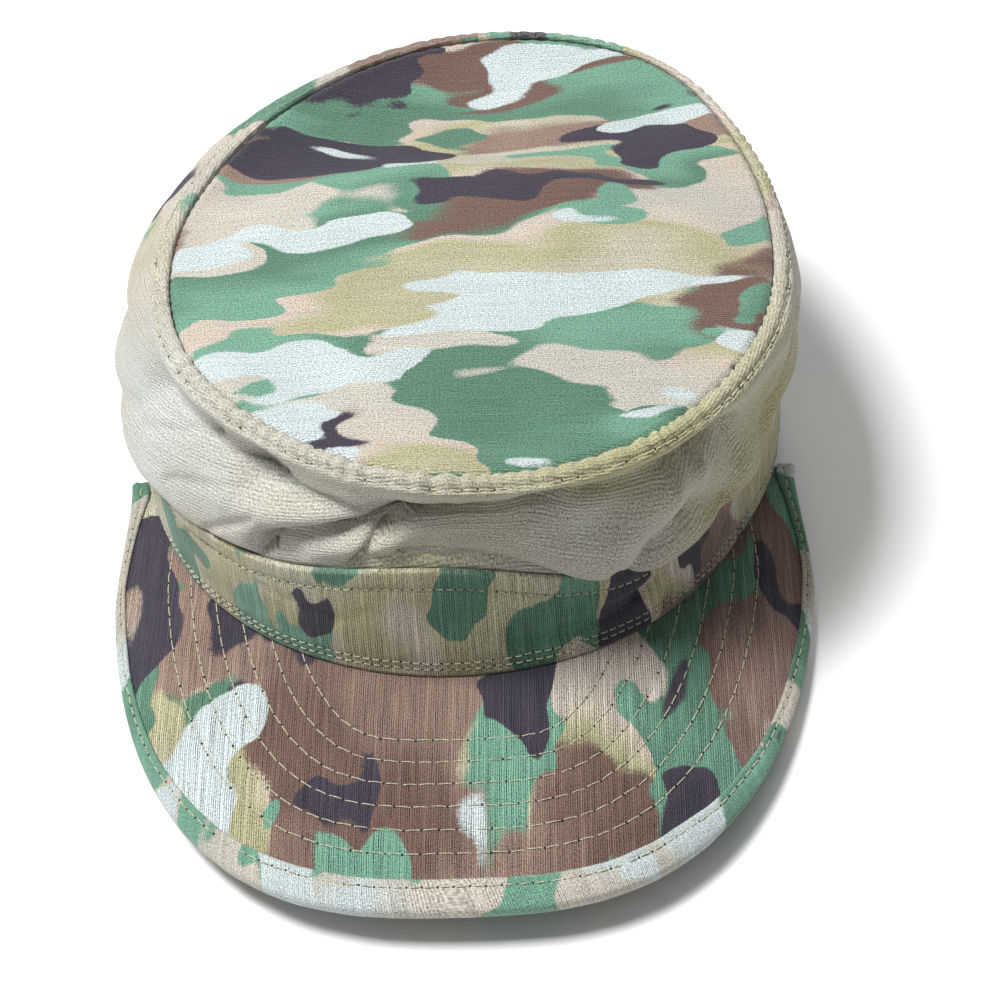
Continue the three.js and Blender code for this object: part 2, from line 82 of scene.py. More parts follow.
# Stations every 30 degrees round the cap, from the back by the left side.
# foot, lean and tall shape the band; seam and shoulder the crown's edge; bulge and sag its wall.
# over: how far the wall hangs out over the band. plain: how little print shows on the wall.
# The last column runs from pale and bluish cloth at 0 to olive and brown at 1: partly the print's own tone,
# partly painted light and shade, paler where the light falls on the left and olive and brown on the shaded
# right side.
stations = {
    "foot": (1.0, 0.99, 0.98, 0.985, 0.97, 0.985, 0.995, 0.995, 0.975, 1.01, 0.985, 0.99),
    "lean": (-0.3, 0.1, 0.3, 0.3, 0.6, 0.1, -0.8, -0.7, -0.2, 0.2, 0, -0.1),
    "tall": (1.0, 1.0, 0.95, 0.86, 0.88, 0.87, 1.0, 0.63, 0.97, 1.0, 1.0, 1.0),
    "seam": (1.0, 0.95, 0.95, 0.99, 1.015, 0.99, 0.995, 1.02, 1.01, 0.975, 0.985, 1.045),
    "shoulder": (0.7, 1.3, 1.5, 1.2, 1.1, 1.0, 1.0, 1.0, 1.0, 0.8, 0.4, 0.3),
    "bulge": (0.3, 0.45, 0.8, 0.7, 0.45, 0.35, 0.35, 0.4, 0.4, 0.35, 0.2, 0.2),
    "sag": (0.1, 0.1, 0.1, 0.1, 0.2, 0.25, 0.2, 0.15, 0.15, 0.1, 0.1, 0.1),
    "over": (0, 0, 0.2, 0.5, 0.55, 0.1, 0, 1, 0.75, 0.5, 0.2, 0),
    "plain": (0, 0, 0.1, 0.6, 0.85, 1, 1, 1, 1, 0.5, 0, 0),
    "warmAndShade": (0.5, 0.5, 0.4, 0.2, 0.25, 0.4, 0.5, 0.6, 0.8, 0.9, 0.7, 0.55),
}


def catmullRom(a, b, c, d, t):
    return 0.5 * (2 * b + (c - a) * t + (2 * a - 5 * b + 4 * c - d) * t * t
                  + (3 * b - a - 3 * c + d) * t ** 3)


def station(column, angle):
    values = np.array(stations[column], float)
    place = np.mod((np.asarray(angle, float) + np.pi) / (2 * np.pi) * len(values), len(values))
    i = np.floor(place).astype(int)
    pick = lambda k: values[(i + k) % len(values)]
    return catmullRom(pick(-1), pick(0), pick(1), pick(2), place - i)


def along(table, key, column, place):
    keys, values = np.array(table[key], float), np.array(table[column], float)
    held = np.clip(place, keys[0], keys[-1])
    i = np.clip(np.searchsorted(keys, held) - 1, 0, len(keys) - 2)
    t = (held - keys[i]) / (keys[i + 1] - keys[i])
    return catmullRom(values[np.maximum(i - 1, 0)], values[i], values[i + 1],
                      values[np.minimum(i + 2, len(keys) - 1)], t)


def oval(angle, halfWidth, halfLength):
    return 1 / np.hypot(np.sin(angle) / halfWidth, np.cos(angle) / halfLength)


# Depth of a pressed line that runs between two points, at x and y of the same flat measure
def pressed(x, y, ends, depth, width):
    fromX, fromY, toX, toY = ends
    runX, runY = toX - fromX, toY - fromY
    held = np.clip(((x - fromX) * runX + (y - fromY) * runY) / (runX ** 2 + runY ** 2), 0, 1)
    away = np.hypot(x - fromX - held * runX, y - fromY - held * runY)
    return depth * np.exp(-(away / width) ** 2)


# Soft noise from -1 to 1. Its cells are one unit wide, and repeat after wrap of them along u
def softNoise(u, v, seed, wrap=64):
    lattice = np.random.default_rng(seed).uniform(-1, 1, (wrap, 97))
    u, v = np.broadcast_arrays(np.asarray(u, float), np.asarray(v, float))
    i, j = np.floor(u).astype(int), np.floor(v).astype(int)
    s, t = u - i, v - j
    s, t = s * s * s * (s * (6 * s - 15) + 10), t * t * t * (t * (6 * t - 15) + 10)
    at = lambda a, b: lattice[(i + a) % wrap, (j + b) % 97]
    return (at(0, 0) * (1 - s) + at(1, 0) * s) * (1 - t) + (at(0, 1) * (1 - s) + at(1, 1) * s) * t


def unit(v):
    return v / np.maximum(np.linalg.norm(v, axis=-1, keepdims=True), 1e-9)


# Outward directions of a grid whose rows climb and whose columns run towards +X in front
def gridNormals(grid, closed):
    side = np.roll(grid, -1, 1) - np.roll(grid, 1, 1) if closed else np.gradient(grid, axis=1)
    return unit(np.cross(side, np.gradient(grid, axis=0)))


# Rows of points become faces, with the print's place on the cloth as their UV map
class ClothMesh:
    def __init__(self, name):
        self.name, self.points, self.uvs, self.faces, self.kinds, self.count = name, [], [], [], [], 0
        self.marks = {"edge": [], "plain": [], "warmAndShade": []}

    def addRow(self, points, uv, edge=0.0, plain=0.0, warmAndShade=0.5):
        n = len(points)
        self.points.append(points)
        self.uvs.append(np.broadcast_to(uv, (n, 2)))
        for mark, value in (("edge", edge), ("plain", plain), ("warmAndShade", warmAndShade)):
            self.marks[mark].append(np.broadcast_to(value, (n,)))
        self.count += n
        return np.arange(self.count - n, self.count)

    def bridge(self, a, b, closed, kind=0):
        c, d = (np.roll(a, -1), np.roll(b, -1)) if closed else (a[1:], b[1:])
        a, b = (a, b) if closed else (a[:-1], b[:-1])
        self.faces.append(np.stack([a, c, d, b], -1))
        self.kinds.append(np.full(len(a), kind))

    def fan(self, ring, middle, kind=0):
        self.faces.append(np.stack([
            ring, np.roll(ring, -1), np.full(len(ring), middle), np.full(len(ring), -1)], -1))
        self.kinds.append(np.full(len(ring), kind))

    def finish(self, materials, nodes=(), period=None):
        points = (np.concatenate(self.points) + head["middle"]) * 0.001
        faces = [[k for k in face if k >= 0] for face in np.concatenate(self.faces).tolist()]
        mesh = bpy.data.meshes.new(self.name)
        mesh.from_pydata(points.tolist(), [], faces)
        mesh.shade_smooth()
        mesh.polygons.foreach_set("material_index", np.concatenate(self.kinds).astype(np.int32))
        corners = np.zeros(len(mesh.loops), np.int32)
        mesh.loops.foreach_get("vertex_index", corners)
        uv = np.concatenate(self.uvs)[corners] * 0.001
        if period:                                      # the last column's faces close the ring
            ends = np.cumsum([len(face) for face in faces])
            starts = ends - [len(face) for face in faces]
            low = np.repeat(np.maximum.reduceat(uv[:, 0], starts), ends - starts) - uv[:, 0] > period * 0.0005
            uv[low, 0] += period * 0.001
        mesh.uv_layers.new(name="cloth").data.foreach_set("uv", uv.astype(np.float32).ravel())
        for mark, rows in self.marks.items():
            mesh.attributes.new(mark, "FLOAT", "POINT").data.foreach_set(
                "value", np.concatenate(rows).astype(np.float32))
        piece = bpy.data.objects.new(self.name, mesh)
        for material in materials:
            mesh.materials.append(material)
        bpy.context.scene.collection.objects.link(piece)
        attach(piece, "root")
        if nodes:
            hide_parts(*nodes)
        print(self.name, len(faces), "faces")
        return piece


# Shader helpers
def addNode(tree, kind, inputs=(), **settings):
    node = tree.nodes.new(kind)
    for key, value in settings.items():
        setattr(node, key, value)
    for key, value in dict(inputs).items():
        if isinstance(value, bpy.types.NodeSocket):
            tree.links.new(value, node.inputs[key])
        else:
            node.inputs[key].default_value = value
    return node


def calc(tree, operation, a, b=0.0, c=0.0, held=False):
    return addNode(tree, "ShaderNodeMath", {0: a, 1: b, 2: c}, operation=operation, use_clamp=held).outputs[0]


def mixed(tree, factor, a, b, blend="MIX"):
    node = addNode(tree, "ShaderNodeMix", {0: factor, 6: a, 7: b}, data_type="RGBA", blend_type=blend)
    return node.outputs[2]


def shifted(tree, vector, amount, operation="ADD"):
    return addNode(tree, "ShaderNodeVectorMath", {0: vector, 1: amount}, operation=operation).outputs[0]


def ranged(tree, value, low, high, toLow=0.0, toHigh=1.0):
    inputs = {"Value": value, "From Min": low, "From Max": high, "To Min": toLow, "To Max": toHigh}
    return addNode(tree, "ShaderNodeMapRange", inputs, interpolation_type="SMOOTHSTEP").outputs[0]


# A tone as it is seen, 0 to 255
def tone(red, green, blue):
    straight = lambda c: c / 12.92 if c <= 0.04045 else ((c + 0.055) / 1.055) ** 2.4
    return (*(straight(c / 255) for c in (red, green, blue)), 1.0)


palette = {
    "mint": tone(182, 192, 192), "stone": tone(178, 174, 163), "olive": tone(160, 156, 120),
    "sand": tone(184, 171, 160), "green": tone(106, 148, 127), "deepGreen": tone(82, 118, 98),
    "brown": tone(134, 112, 102), "umber": tone(104, 82, 74), "dark": tone(60, 55, 66),
}


# Blotched print in layers: a ground that runs softly between pale tones, then crisp green,
# soft-edged brown, dark and pale blotches. look gives the blotch size in metres and the shares.
def printedColour(tree, place, look):
    seed = look["seed"]
    wide, tall = look["blotch"]
    spread = addNode(tree, "ShaderNodeMapping", {
        "Vector": place, "Rotation": (0, 0, math.radians(look["turn"])), "Scale": (1 / wide, 1 / tall, 1),
        "Location": (seed, seed * 1.7, seed * 0.6)}).outputs[0]
    wobble = addNode(tree, "ShaderNodeTexNoise",
                     {"Vector": spread, "Scale": 1.9, "Detail": 1.0}).outputs["Color"]
    ragged = addNode(tree, "ShaderNodeTexNoise",
                     {"Vector": place, "Scale": 1100.0, "Detail": 1.0}).outputs["Color"]
    warped = shifted(tree, spread,
                     shifted(tree, shifted(tree, wobble, (0.5,) * 3, "SUBTRACT"), (0.7,) * 3, "MULTIPLY"))
    warped = shifted(tree, warped,
                     shifted(tree, shifted(tree, ragged, (0.5,) * 3, "SUBTRACT"), (0.025,) * 3, "MULTIPLY"))
    speckle = addNode(tree, "ShaderNodeTexNoise",
                      {"Vector": place, "Scale": 1300.0, "Detail": 2.0}).outputs["Fac"]

    def layer(number, scale=1.0, detail=1.2):
        moved = shifted(tree, warped, (number * 3.7, number * 5.3, number * 9.1))
        return addNode(tree, "ShaderNodeTexNoise", {
            "Vector": moved, "Scale": scale, "Detail": detail, "Roughness": 0.35}).outputs["Fac"]

    def crisp(field, level, soft=0.008):
        return ranged(tree, field, level - soft, level + soft)

    ground = calc(tree, "MULTIPLY_ADD", calc(tree, "SUBTRACT", speckle, 0.5), 0.16, layer(0, 0.75))
    ramp = addNode(tree, "ShaderNodeValToRGB", {"Fac": ground})
    stops = ramp.color_ramp.elements
    for position, name in zip(look["ground"], ("stone", "sand", "olive")):
        stops.new(position).color = palette[name]
    stops[0].color, stops[-1].color = palette[look.get("first", "stone")], palette["stone"]
    stops[0].position, stops[-1].position = look["ground"][0] - 0.05, 0.78
    colour = ramp.outputs["Color"]
    printed = calc(tree, "SUBTRACT", 1.0,
                   addNode(tree, "ShaderNodeAttribute", attribute_name="plain").outputs["Fac"])
    # the per-point mark read here pushes the print towards olive, brown and dark blotches where it is high
    # and towards pale mint where it is low: partly the print's tone, partly painted light and shade
    warmAndShade = calc(tree, "SUBTRACT",
                addNode(tree, "ShaderNodeAttribute", attribute_name="warmAndShade").outputs["Fac"], 0.5)
    mellow = calc(tree, "MULTIPLY_ADD", warmAndShade, 0.5, layer(6, 0.5))
    stoneTone = mixed(tree, ranged(tree, mellow, 0.42, 0.7), palette["stone"], palette["olive"])
    stoneTone = mixed(tree, ranged(tree, mellow, 0.46, 0.3, 0.0, 0.55), stoneTone, palette["mint"])
    colour = mixed(tree, ranged(tree, printed, 0.1, 0.75), stoneTone, colour)
    green = mixed(tree, ranged(tree, layer(5, 0.8), 0.42, 0.62), palette["green"], palette["deepGreen"])
    brown = mixed(tree, ranged(tree, layer(7, 0.9), 0.4, 0.6), palette["brown"], palette["umber"])
    softly = calc(tree, "MULTIPLY_ADD", calc(tree, "SUBTRACT", speckle, 0.5), 0.05, layer(2, 0.8))
    shiftBy = lambda field, amount: calc(tree, "MULTIPLY_ADD", warmAndShade, amount, field)
    masks = (
        (crisp(layer(1), look["green"]), green),
        (crisp(shiftBy(softly, 0.2), look["brown"], 0.018), brown),
        (crisp(layer(8, 1.5), look["green"] + 0.06), green),
        (crisp(shiftBy(layer(3, 1.25), 0.14), look["dark"]), palette["dark"]),
        (crisp(shiftBy(layer(4, 1.15), -0.12), look["pale"]), palette["mint"]),
    )
    for mask, paint in masks:
        cut = calc(tree, "MULTIPLY", mask,
                   ranged(tree, calc(tree, "MULTIPLY_ADD", layer(9, 1.3), 0.5, printed), 0.82, 0.86))
        colour = mixed(tree, cut, colour, paint)
    return colour, speckle


# Cloth with its print, its threads, its ripstop grid and a soft unevenness
def clothMaterial(name, look):
    material = bpy.data.materials.new(name)
    material.use_nodes = True
    tree = material.node_tree
    tree.nodes.clear()
    place = addNode(tree, "ShaderNodeUVMap", uv_map="cloth").outputs[0]
    colour, speckle = printedColour(tree, place, look)
    # the unprinted side, where the print only strikes through
    if look.get("fade"):
        colour = mixed(tree, look["fade"], colour, palette["stone"])
    weave = addNode(tree, "ShaderNodeMapping", {
        "Vector": place, "Rotation": (0, 0, math.radians(look["weave"]))}).outputs[0]
    slub = addNode(tree, "ShaderNodeTexNoise",
                   {"Vector": weave, "Scale": 160.0, "Detail": 2.0}).outputs["Fac"]
    axes = addNode(tree, "ShaderNodeSeparateXYZ", {0: weave})
    jitter = calc(tree, "MULTIPLY", slub, 0.0006)
    across, down = (calc(tree, "ADD", axes.outputs[k], jitter) for k in (0, 1))
    ribs = calc(tree, "SINE", calc(tree, "MULTIPLY", across, 2 * math.pi / look.get("ribGap", 0.00058)))
    picks = calc(tree, "SINE", calc(tree, "MULTIPLY", down, 2 * math.pi / 0.00048))
    ripstop = calc(tree, "LESS_THAN", calc(tree, "FRACT", calc(tree, "DIVIDE", across, 0.0064)), 0.055)
    streaks = addNode(tree, "ShaderNodeMapping", {"Vector": weave, "Scale": (1.0, 0.03, 1.0)}).outputs[0]
    streak = addNode(tree, "ShaderNodeTexNoise",
                     {"Vector": streaks, "Scale": 1500.0, "Detail": 2.0}).outputs["Fac"]
    grain = addNode(tree, "ShaderNodeTexNoise",
                    {"Vector": place, "Scale": 2400.0, "Detail": 1.0}).outputs["Fac"]
    shade = calc(tree, "MULTIPLY_ADD", calc(tree, "SUBTRACT", speckle, 0.5), 0.5, 1.0)
    shade = calc(tree, "MULTIPLY_ADD", calc(tree, "SUBTRACT", grain, 0.5), 2.3, shade)
    shade = calc(tree, "MULTIPLY_ADD", calc(tree, "SUBTRACT", streak, 0.5), 5.5 * look["rib"], shade)
    shade = calc(tree, "MULTIPLY_ADD", calc(tree, "MULTIPLY", ribs, ranged(tree, slub, 0.3, 0.7, 0.6, 2.2)),
                 look["rib"], shade)
    shade = calc(tree, "MULTIPLY_ADD", ripstop, 1.6 * look["rib"], shade)
    worn = addNode(tree, "ShaderNodeTexNoise", {"Vector": place, "Scale": 26.0, "Detail": 4.0}).outputs["Fac"]
    shade = calc(tree, "MULTIPLY", shade, ranged(tree, worn, 0.3, 0.7, 0.93, 1.05))
    grey = addNode(tree, "ShaderNodeCombineXYZ", {0: shade, 1: shade, 2: shade}).outputs[0]
    colour = mixed(tree, 1.0, colour, grey, "MULTIPLY")
    edge = addNode(tree, "ShaderNodeAttribute", attribute_name="edge").outputs["Fac"]
    rubbed = calc(tree, "MULTIPLY", edge, ranged(tree, speckle, 0.4, 0.65, 0.05, 0.3))
    colour = mixed(tree, rubbed, colour, palette["stone"])
    height = calc(tree, "MULTIPLY_ADD", ribs, 0.7, calc(tree, "MULTIPLY", picks, 0.3))
    height = calc(tree, "ADD", height,
                  calc(tree, "MULTIPLY_ADD", ripstop, 1.2, calc(tree, "MULTIPLY", streak, 1.5)))
    fine = addNode(tree, "ShaderNodeBump", {"Strength": 0.6, "Distance": 0.00014, "Height": height})
    rumple = addNode(tree, "ShaderNodeTexNoise",
                     {"Vector": place, "Scale": 75.0, "Detail": 3.0}).outputs["Fac"]
    soft = addNode(tree, "ShaderNodeBump", {
        "Strength": 0.6, "Distance": 0.0012, "Height": rumple, "Normal": fine.outputs[0]})
    rough = ranged(tree, slub, 0.3, 0.7, 0.84, 0.96)
    shader = addNode(tree, "ShaderNodeBsdfPrincipled", {
        "Base Color": colour, "Roughness": rough, "Normal": soft.outputs[0],
        "Specular IOR Level": 0.22, "Sheen Weight": 0.18, "Sheen Roughness": 0.45})
    output = addNode(tree, "ShaderNodeOutputMaterial", {"Surface": shader.outputs[0]})
    output.location = (400, 0)
    return material


# Spun thread, twisted, and the painted shade of the needle holes beside it
def threadMaterial(name, light, dark, twist):
    material = bpy.data.materials.new(name)
    material.use_nodes = True
    tree = material.node_tree
    tree.nodes.clear()
    place = addNode(tree, "ShaderNodeTexCoord").outputs["Object"]
    fibre = addNode(tree, "ShaderNodeTexNoise", {
        "Vector": place, "Scale": twist, "Detail": 3.0}).outputs["Fac"]
    colour = mixed(tree, ranged(tree, fibre, 0.35, 0.65), dark, light)
    bump = addNode(tree, "ShaderNodeBump", {"Strength": 0.6, "Distance": 0.0001, "Height": fibre})
    shader = addNode(tree, "ShaderNodeBsdfPrincipled", {
        "Base Color": colour, "Normal": bump.outputs[0], "Roughness": 0.7, "Specular IOR Level": 0.3})
    addNode(tree, "ShaderNodeOutputMaterial", {"Surface": shader.outputs[0]})
    return material


threadCloth = threadMaterial("khakiThread", tone(206, 204, 182), tone(150, 147, 122), 2600.0)
holeShade = threadMaterial("needleHoleShade", tone(46, 41, 38), tone(28, 25, 24), 900.0)
insideLook = {"seed": 9.3, "blotch": (0.05, 0.026), "turn": 4, "weave": 0, "rib": 0.08, "fade": 0.62,
              "ground": (0.4, 0.5, 0.6), "green": 0.56, "brown": 0.6, "dark": 0.66, "pale": 0.7}
insideCloth = clothMaterial("insideCloth", insideLook)
print("shared materials made")


# One stitch for each pitch along the lines, lying on the cloth and dipping in at its ends
def makeStitchTree():
    tree = bpy.data.node_groups.new("stitches", "GeometryNodeTree")
    face = tree.interface
    face.new_socket("Geometry", in_out="INPUT", socket_type="NodeSocketGeometry")
    for name, value in (("Pitch", 0.004), ("Length", 0.0034), ("Thickness", 0.0005), ("Hole", 0.0006)):
        face.new_socket(name, in_out="INPUT", socket_type="NodeSocketFloat").default_value = value
    face.new_socket("Seed", in_out="INPUT", socket_type="NodeSocketInt").default_value = 1
    face.new_socket("Thread", in_out="INPUT", socket_type="NodeSocketMaterial")
    face.new_socket("Hole Shade", in_out="INPUT", socket_type="NodeSocketMaterial")
    face.new_socket("Geometry", in_out="OUTPUT", socket_type="NodeSocketGeometry")
    given = addNode(tree, "NodeGroupInput").outputs
    curve = addNode(tree, "GeometryNodeMeshToCurve", {0: given["Geometry"]})
    spaced = addNode(tree, "GeometryNodeResampleCurve",
                     {"Curve": curve.outputs[0], "Length": given["Pitch"]}, mode="LENGTH")
    tangent = addNode(tree, "GeometryNodeInputTangent")
    up = addNode(tree, "GeometryNodeInputNamedAttribute", {"Name": "up"}, data_type="FLOAT_VECTOR")
    lengthways = addNode(tree, "FunctionNodeAlignRotationToVector", {"Vector": tangent.outputs[0]}, axis="X")
    upright = addNode(tree, "FunctionNodeAlignRotationToVector", {
        "Rotation": lengthways.outputs[0], "Vector": up.outputs[0]}, axis="Z", pivot_axis="X")
    sway = addNode(tree, "FunctionNodeRandomValue",
                   {"Min": (0, 0, -0.07), "Max": (0, 0, 0.07), "Seed": given["Seed"]},
                   data_type="FLOAT_VECTOR")
    swayed = addNode(tree, "FunctionNodeRotateRotation", {
        "Rotation": upright.outputs[0], "Rotate By": sway.outputs[0]}, rotation_space="LOCAL")

    arc = addNode(tree, "GeometryNodeCurveQuadraticBezier", {
        "Resolution": 8, "Start": (-0.5, 0, -0.5), "Middle": (0, 0, 0.9), "End": (0.5, 0, -0.5)})
    size = addNode(tree, "ShaderNodeCombineXYZ",
                   {0: given["Length"], 1: given["Thickness"], 2: given["Thickness"]})
    laid = addNode(tree, "GeometryNodeTransform", {"Geometry": arc.outputs[0], "Scale": size.outputs[0]})
    t = addNode(tree, "GeometryNodeSplineParameter").outputs["Factor"]
    full = calc(tree, "MULTIPLY_ADD", calc(tree, "SINE", calc(tree, "MULTIPLY", t, math.pi)), 0.4, 0.6)
    shaped = addNode(tree, "GeometryNodeSetCurveRadius", {"Curve": laid.outputs[0], "Radius": full})
    section = addNode(tree, "GeometryNodeCurvePrimitiveCircle", {
        "Resolution": 6, "Radius": calc(tree, "MULTIPLY", given["Thickness"], 0.5)})
    tube = addNode(tree, "GeometryNodeCurveToMesh", {
        "Curve": shaped.outputs[0], "Profile Curve": section.outputs[0], "Fill Caps": True})
    # a flat dark disc sunk into the cloth between stitches: painted shade of the needle hole
    ball = addNode(tree, "GeometryNodeMeshUVSphere", {"Segments": 8, "Rings": 4, "Radius": 0.5})
    marked = addNode(tree, "GeometryNodeStoreNamedAttribute", {
        "Geometry": ball.outputs[0], "Name": "needleHoleShade", "Value": True}, data_type="BOOLEAN", domain="FACE")
    holeSize = addNode(tree, "ShaderNodeCombineXYZ", {
        0: given["Hole"], 1: given["Hole"], 2: calc(tree, "MULTIPLY", given["Hole"], 0.24)})
    holePlace = addNode(tree, "ShaderNodeCombineXYZ",
                        {0: calc(tree, "MULTIPLY", given["Pitch"], 0.5), 2: -0.0001})
    sunk = addNode(tree, "GeometryNodeTransform", {
        "Geometry": marked.outputs[0], "Translation": holePlace.outputs[0], "Scale": holeSize.outputs[0]})
    stitch = addNode(tree, "GeometryNodeJoinGeometry")
    tree.links.new(sunk.outputs[0], stitch.inputs[0])
    tree.links.new(tube.outputs[0], stitch.inputs[0])

    stretch = addNode(tree, "FunctionNodeRandomValue", {2: 0.93, 3: 1.05, "Seed": given["Seed"]},
                      data_type="FLOAT")
    uneven = addNode(tree, "ShaderNodeCombineXYZ", {0: stretch.outputs[1], 1: 1.0, 2: 1.0})
    placed = addNode(tree, "GeometryNodeInstanceOnPoints", {
        "Points": spaced.outputs[0], "Instance": stitch.outputs[0],
        "Rotation": swayed.outputs[0], "Scale": uneven.outputs[0]})
    smooth = addNode(tree, "GeometryNodeSetShadeSmooth", {0: addNode(
        tree, "GeometryNodeRealizeInstances", {0: placed.outputs[0]}).outputs[0]})
    threaded = addNode(tree, "GeometryNodeSetMaterial",
                       {"Geometry": smooth.outputs[0], "Material": given["Thread"]})
    isHole = addNode(tree, "GeometryNodeInputNamedAttribute", {"Name": "needleHoleShade"}, data_type="BOOLEAN")
    shaded = addNode(tree, "GeometryNodeSetMaterial", {
        "Geometry": threaded.outputs[0], "Selection": isHole.outputs[0], "Material": given["Hole Shade"]})
    addNode(tree, "NodeGroupOutput", {0: shaded.outputs[0]})
    return tree


stitchTree = makeStitchTree()


# Sews along lines of points with their upward directions, and leaves one plain mesh
def sew(name, lines, sewing, seed):
    points, ups, edges, start = [], [], [], 0
    for line, up, closed in lines:
        n = len(line)
        points.append(line)
        ups.append(up)
        edges += [(start + k, start + (k + 1) % n) for k in range(n if closed else n - 1)]
        start += n
    mesh = bpy.data.meshes.new(name)
    mesh.from_pydata(((np.concatenate(points) + head["middle"]) * 0.001).tolist(), edges, [])
    mesh.attributes.new("up", "FLOAT_VECTOR", "POINT").data.foreach_set(
        "vector", np.concatenate(ups).astype(np.float32).ravel())
    guide = bpy.data.objects.new(name + "Guide", mesh)
    bpy.context.scene.collection.objects.link(guide)
    modifier = guide.modifiers.new("stitches", "NODES")
    modifier.node_group = stitchTree
    values = {"Pitch": sewing["pitch"] * 0.001, "Length": sewing["length"] * 0.001, "Seed": seed,
              "Thickness": sewing["thickness"] * 0.001, "Hole": sewing["hole"] * 0.001,
              "Thread": threadCloth, "Hole Shade": holeShade}
    for socket in stitchTree.interface.items_tree:
        if socket.in_out == "INPUT" and socket.name in values:
            modifier[socket.identifier] = values[socket.name]
    bpy.context.view_layer.update()
    depsgraph = bpy.context.evaluated_depsgraph_get()
    sewn = bpy.data.meshes.new_from_object(guide.evaluated_get(depsgraph), depsgraph=depsgraph)
    bpy.data.objects.remove(guide)
    sewn.name = name
    made = [material for material in sewn.materials]    # the guide's own empty slot goes
    kinds = np.zeros(len(sewn.polygons), np.int32)
    sewn.polygons.foreach_get("material_index", kinds)
    sewn.materials.clear()
    for material in (threadCloth, holeShade):
        sewn.materials.append(material)
    sewn.polygons.foreach_set("material_index",
                              np.array([int(m == holeShade) for m in made], np.int32)[kinds])
    piece = bpy.data.objects.new(name, sewn)
    bpy.context.scene.collection.objects.link(piece)
    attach(piece, "root")
    print(name, len(sewn.polygons), "faces")
    return piece


# A line on a grid at a given place among its rows for each column, lifted a little
def lineOnGrid(grid, normals, rowPlace, lift):
    low = np.clip(np.floor(rowPlace).astype(int), 0, len(grid) - 2)
    t = (rowPlace - low)[:, None]
    columns = np.arange(grid.shape[1])
    point = grid[low, columns] * (1 - t) + grid[low + 1, columns] * t
    up = unit(normals[low, columns] * (1 - t) + normals[low + 1, columns] * t)
    return point + up * lift, up


columnsRound = 640
around = np.arange(columnsRound) / columnsRound * 2 * np.pi - np.pi
cellsRound = lambda cells: (around + np.pi) / (2 * np.pi) * cells

band = {
    "height": 35.5, "cloth": 1.6, "lean": 4.0,
    "topStitch": 5.5, "footStitches": (2.4, 4.5),       # below the upper edge, above the foot
    "rows": 44, "insideRows": 14, "dip": 0.32, "backSeam": 0.4,
    "sewing": {"pitch": 2.65, "length": 1.75, "thickness": 0.36, "hole": 0.6},
}
crown = {
    "halfWidth": 81.0, "halfLength": 95.0, "shift": (8.0, 2.0), "frontHeight": 84.0, "backHeight": 74.6,
    "cloth": 1.3, "hemTuck": 10.0, "shoulderWidth": 3.8, "shoulderDrop": 1.6, "bulge": 9.0, "seamTurn": 3.0,
    "rows": 56, "lowRows": 28, "hemRows": 5, "lipRows": 16,
    "foldMore": 1.2, "creaseMore": 1.9,
    "ditch": 0.12, "topStitch": 5.0, "pucker": 1.5, "dip": 0.45, "welt": 0.65,
    "sewing": {"pitch": 4.3, "length": 3.3, "thickness": 0.38, "hole": 0.6},
}
pressing = {"depth": 4.0, "width": 9.0}
bandFolds = (   # from angle, share of height, to angle, share, depth, width
    (12, 0.3, 30, 0.5, 0.3, 0.5), (30, 0.5, 42, 0.95, 0.35, 0.5),
)
wallFolds = (
    (-60, 0.85, -34, 0.78, 0.8, 0.7), (-34, 0.78, -12, 0.64, 0.8, 0.7), (-28, 0.2, -10, 0.6, 0.6, 0.5),
    (-36, 0.5, -16, 0.55, -0.4, 0.6), (-10, 0.66, 12, 0.76, 1.0, 0.8), (12, 0.76, 40, 0.76, 1.1, 0.8),
    (40, 0.76, 60, 0.5, 0.8, 0.8), (26, 0.1, 48, 0.42, 0.5, 0.6), (95, 0.3, 125, 0.6, 0.6, 1),
    (150, 0.5, 185, 0.3, 0.7, 1), (-150, 0.6, -120, 0.35, 0.6, 1),
)
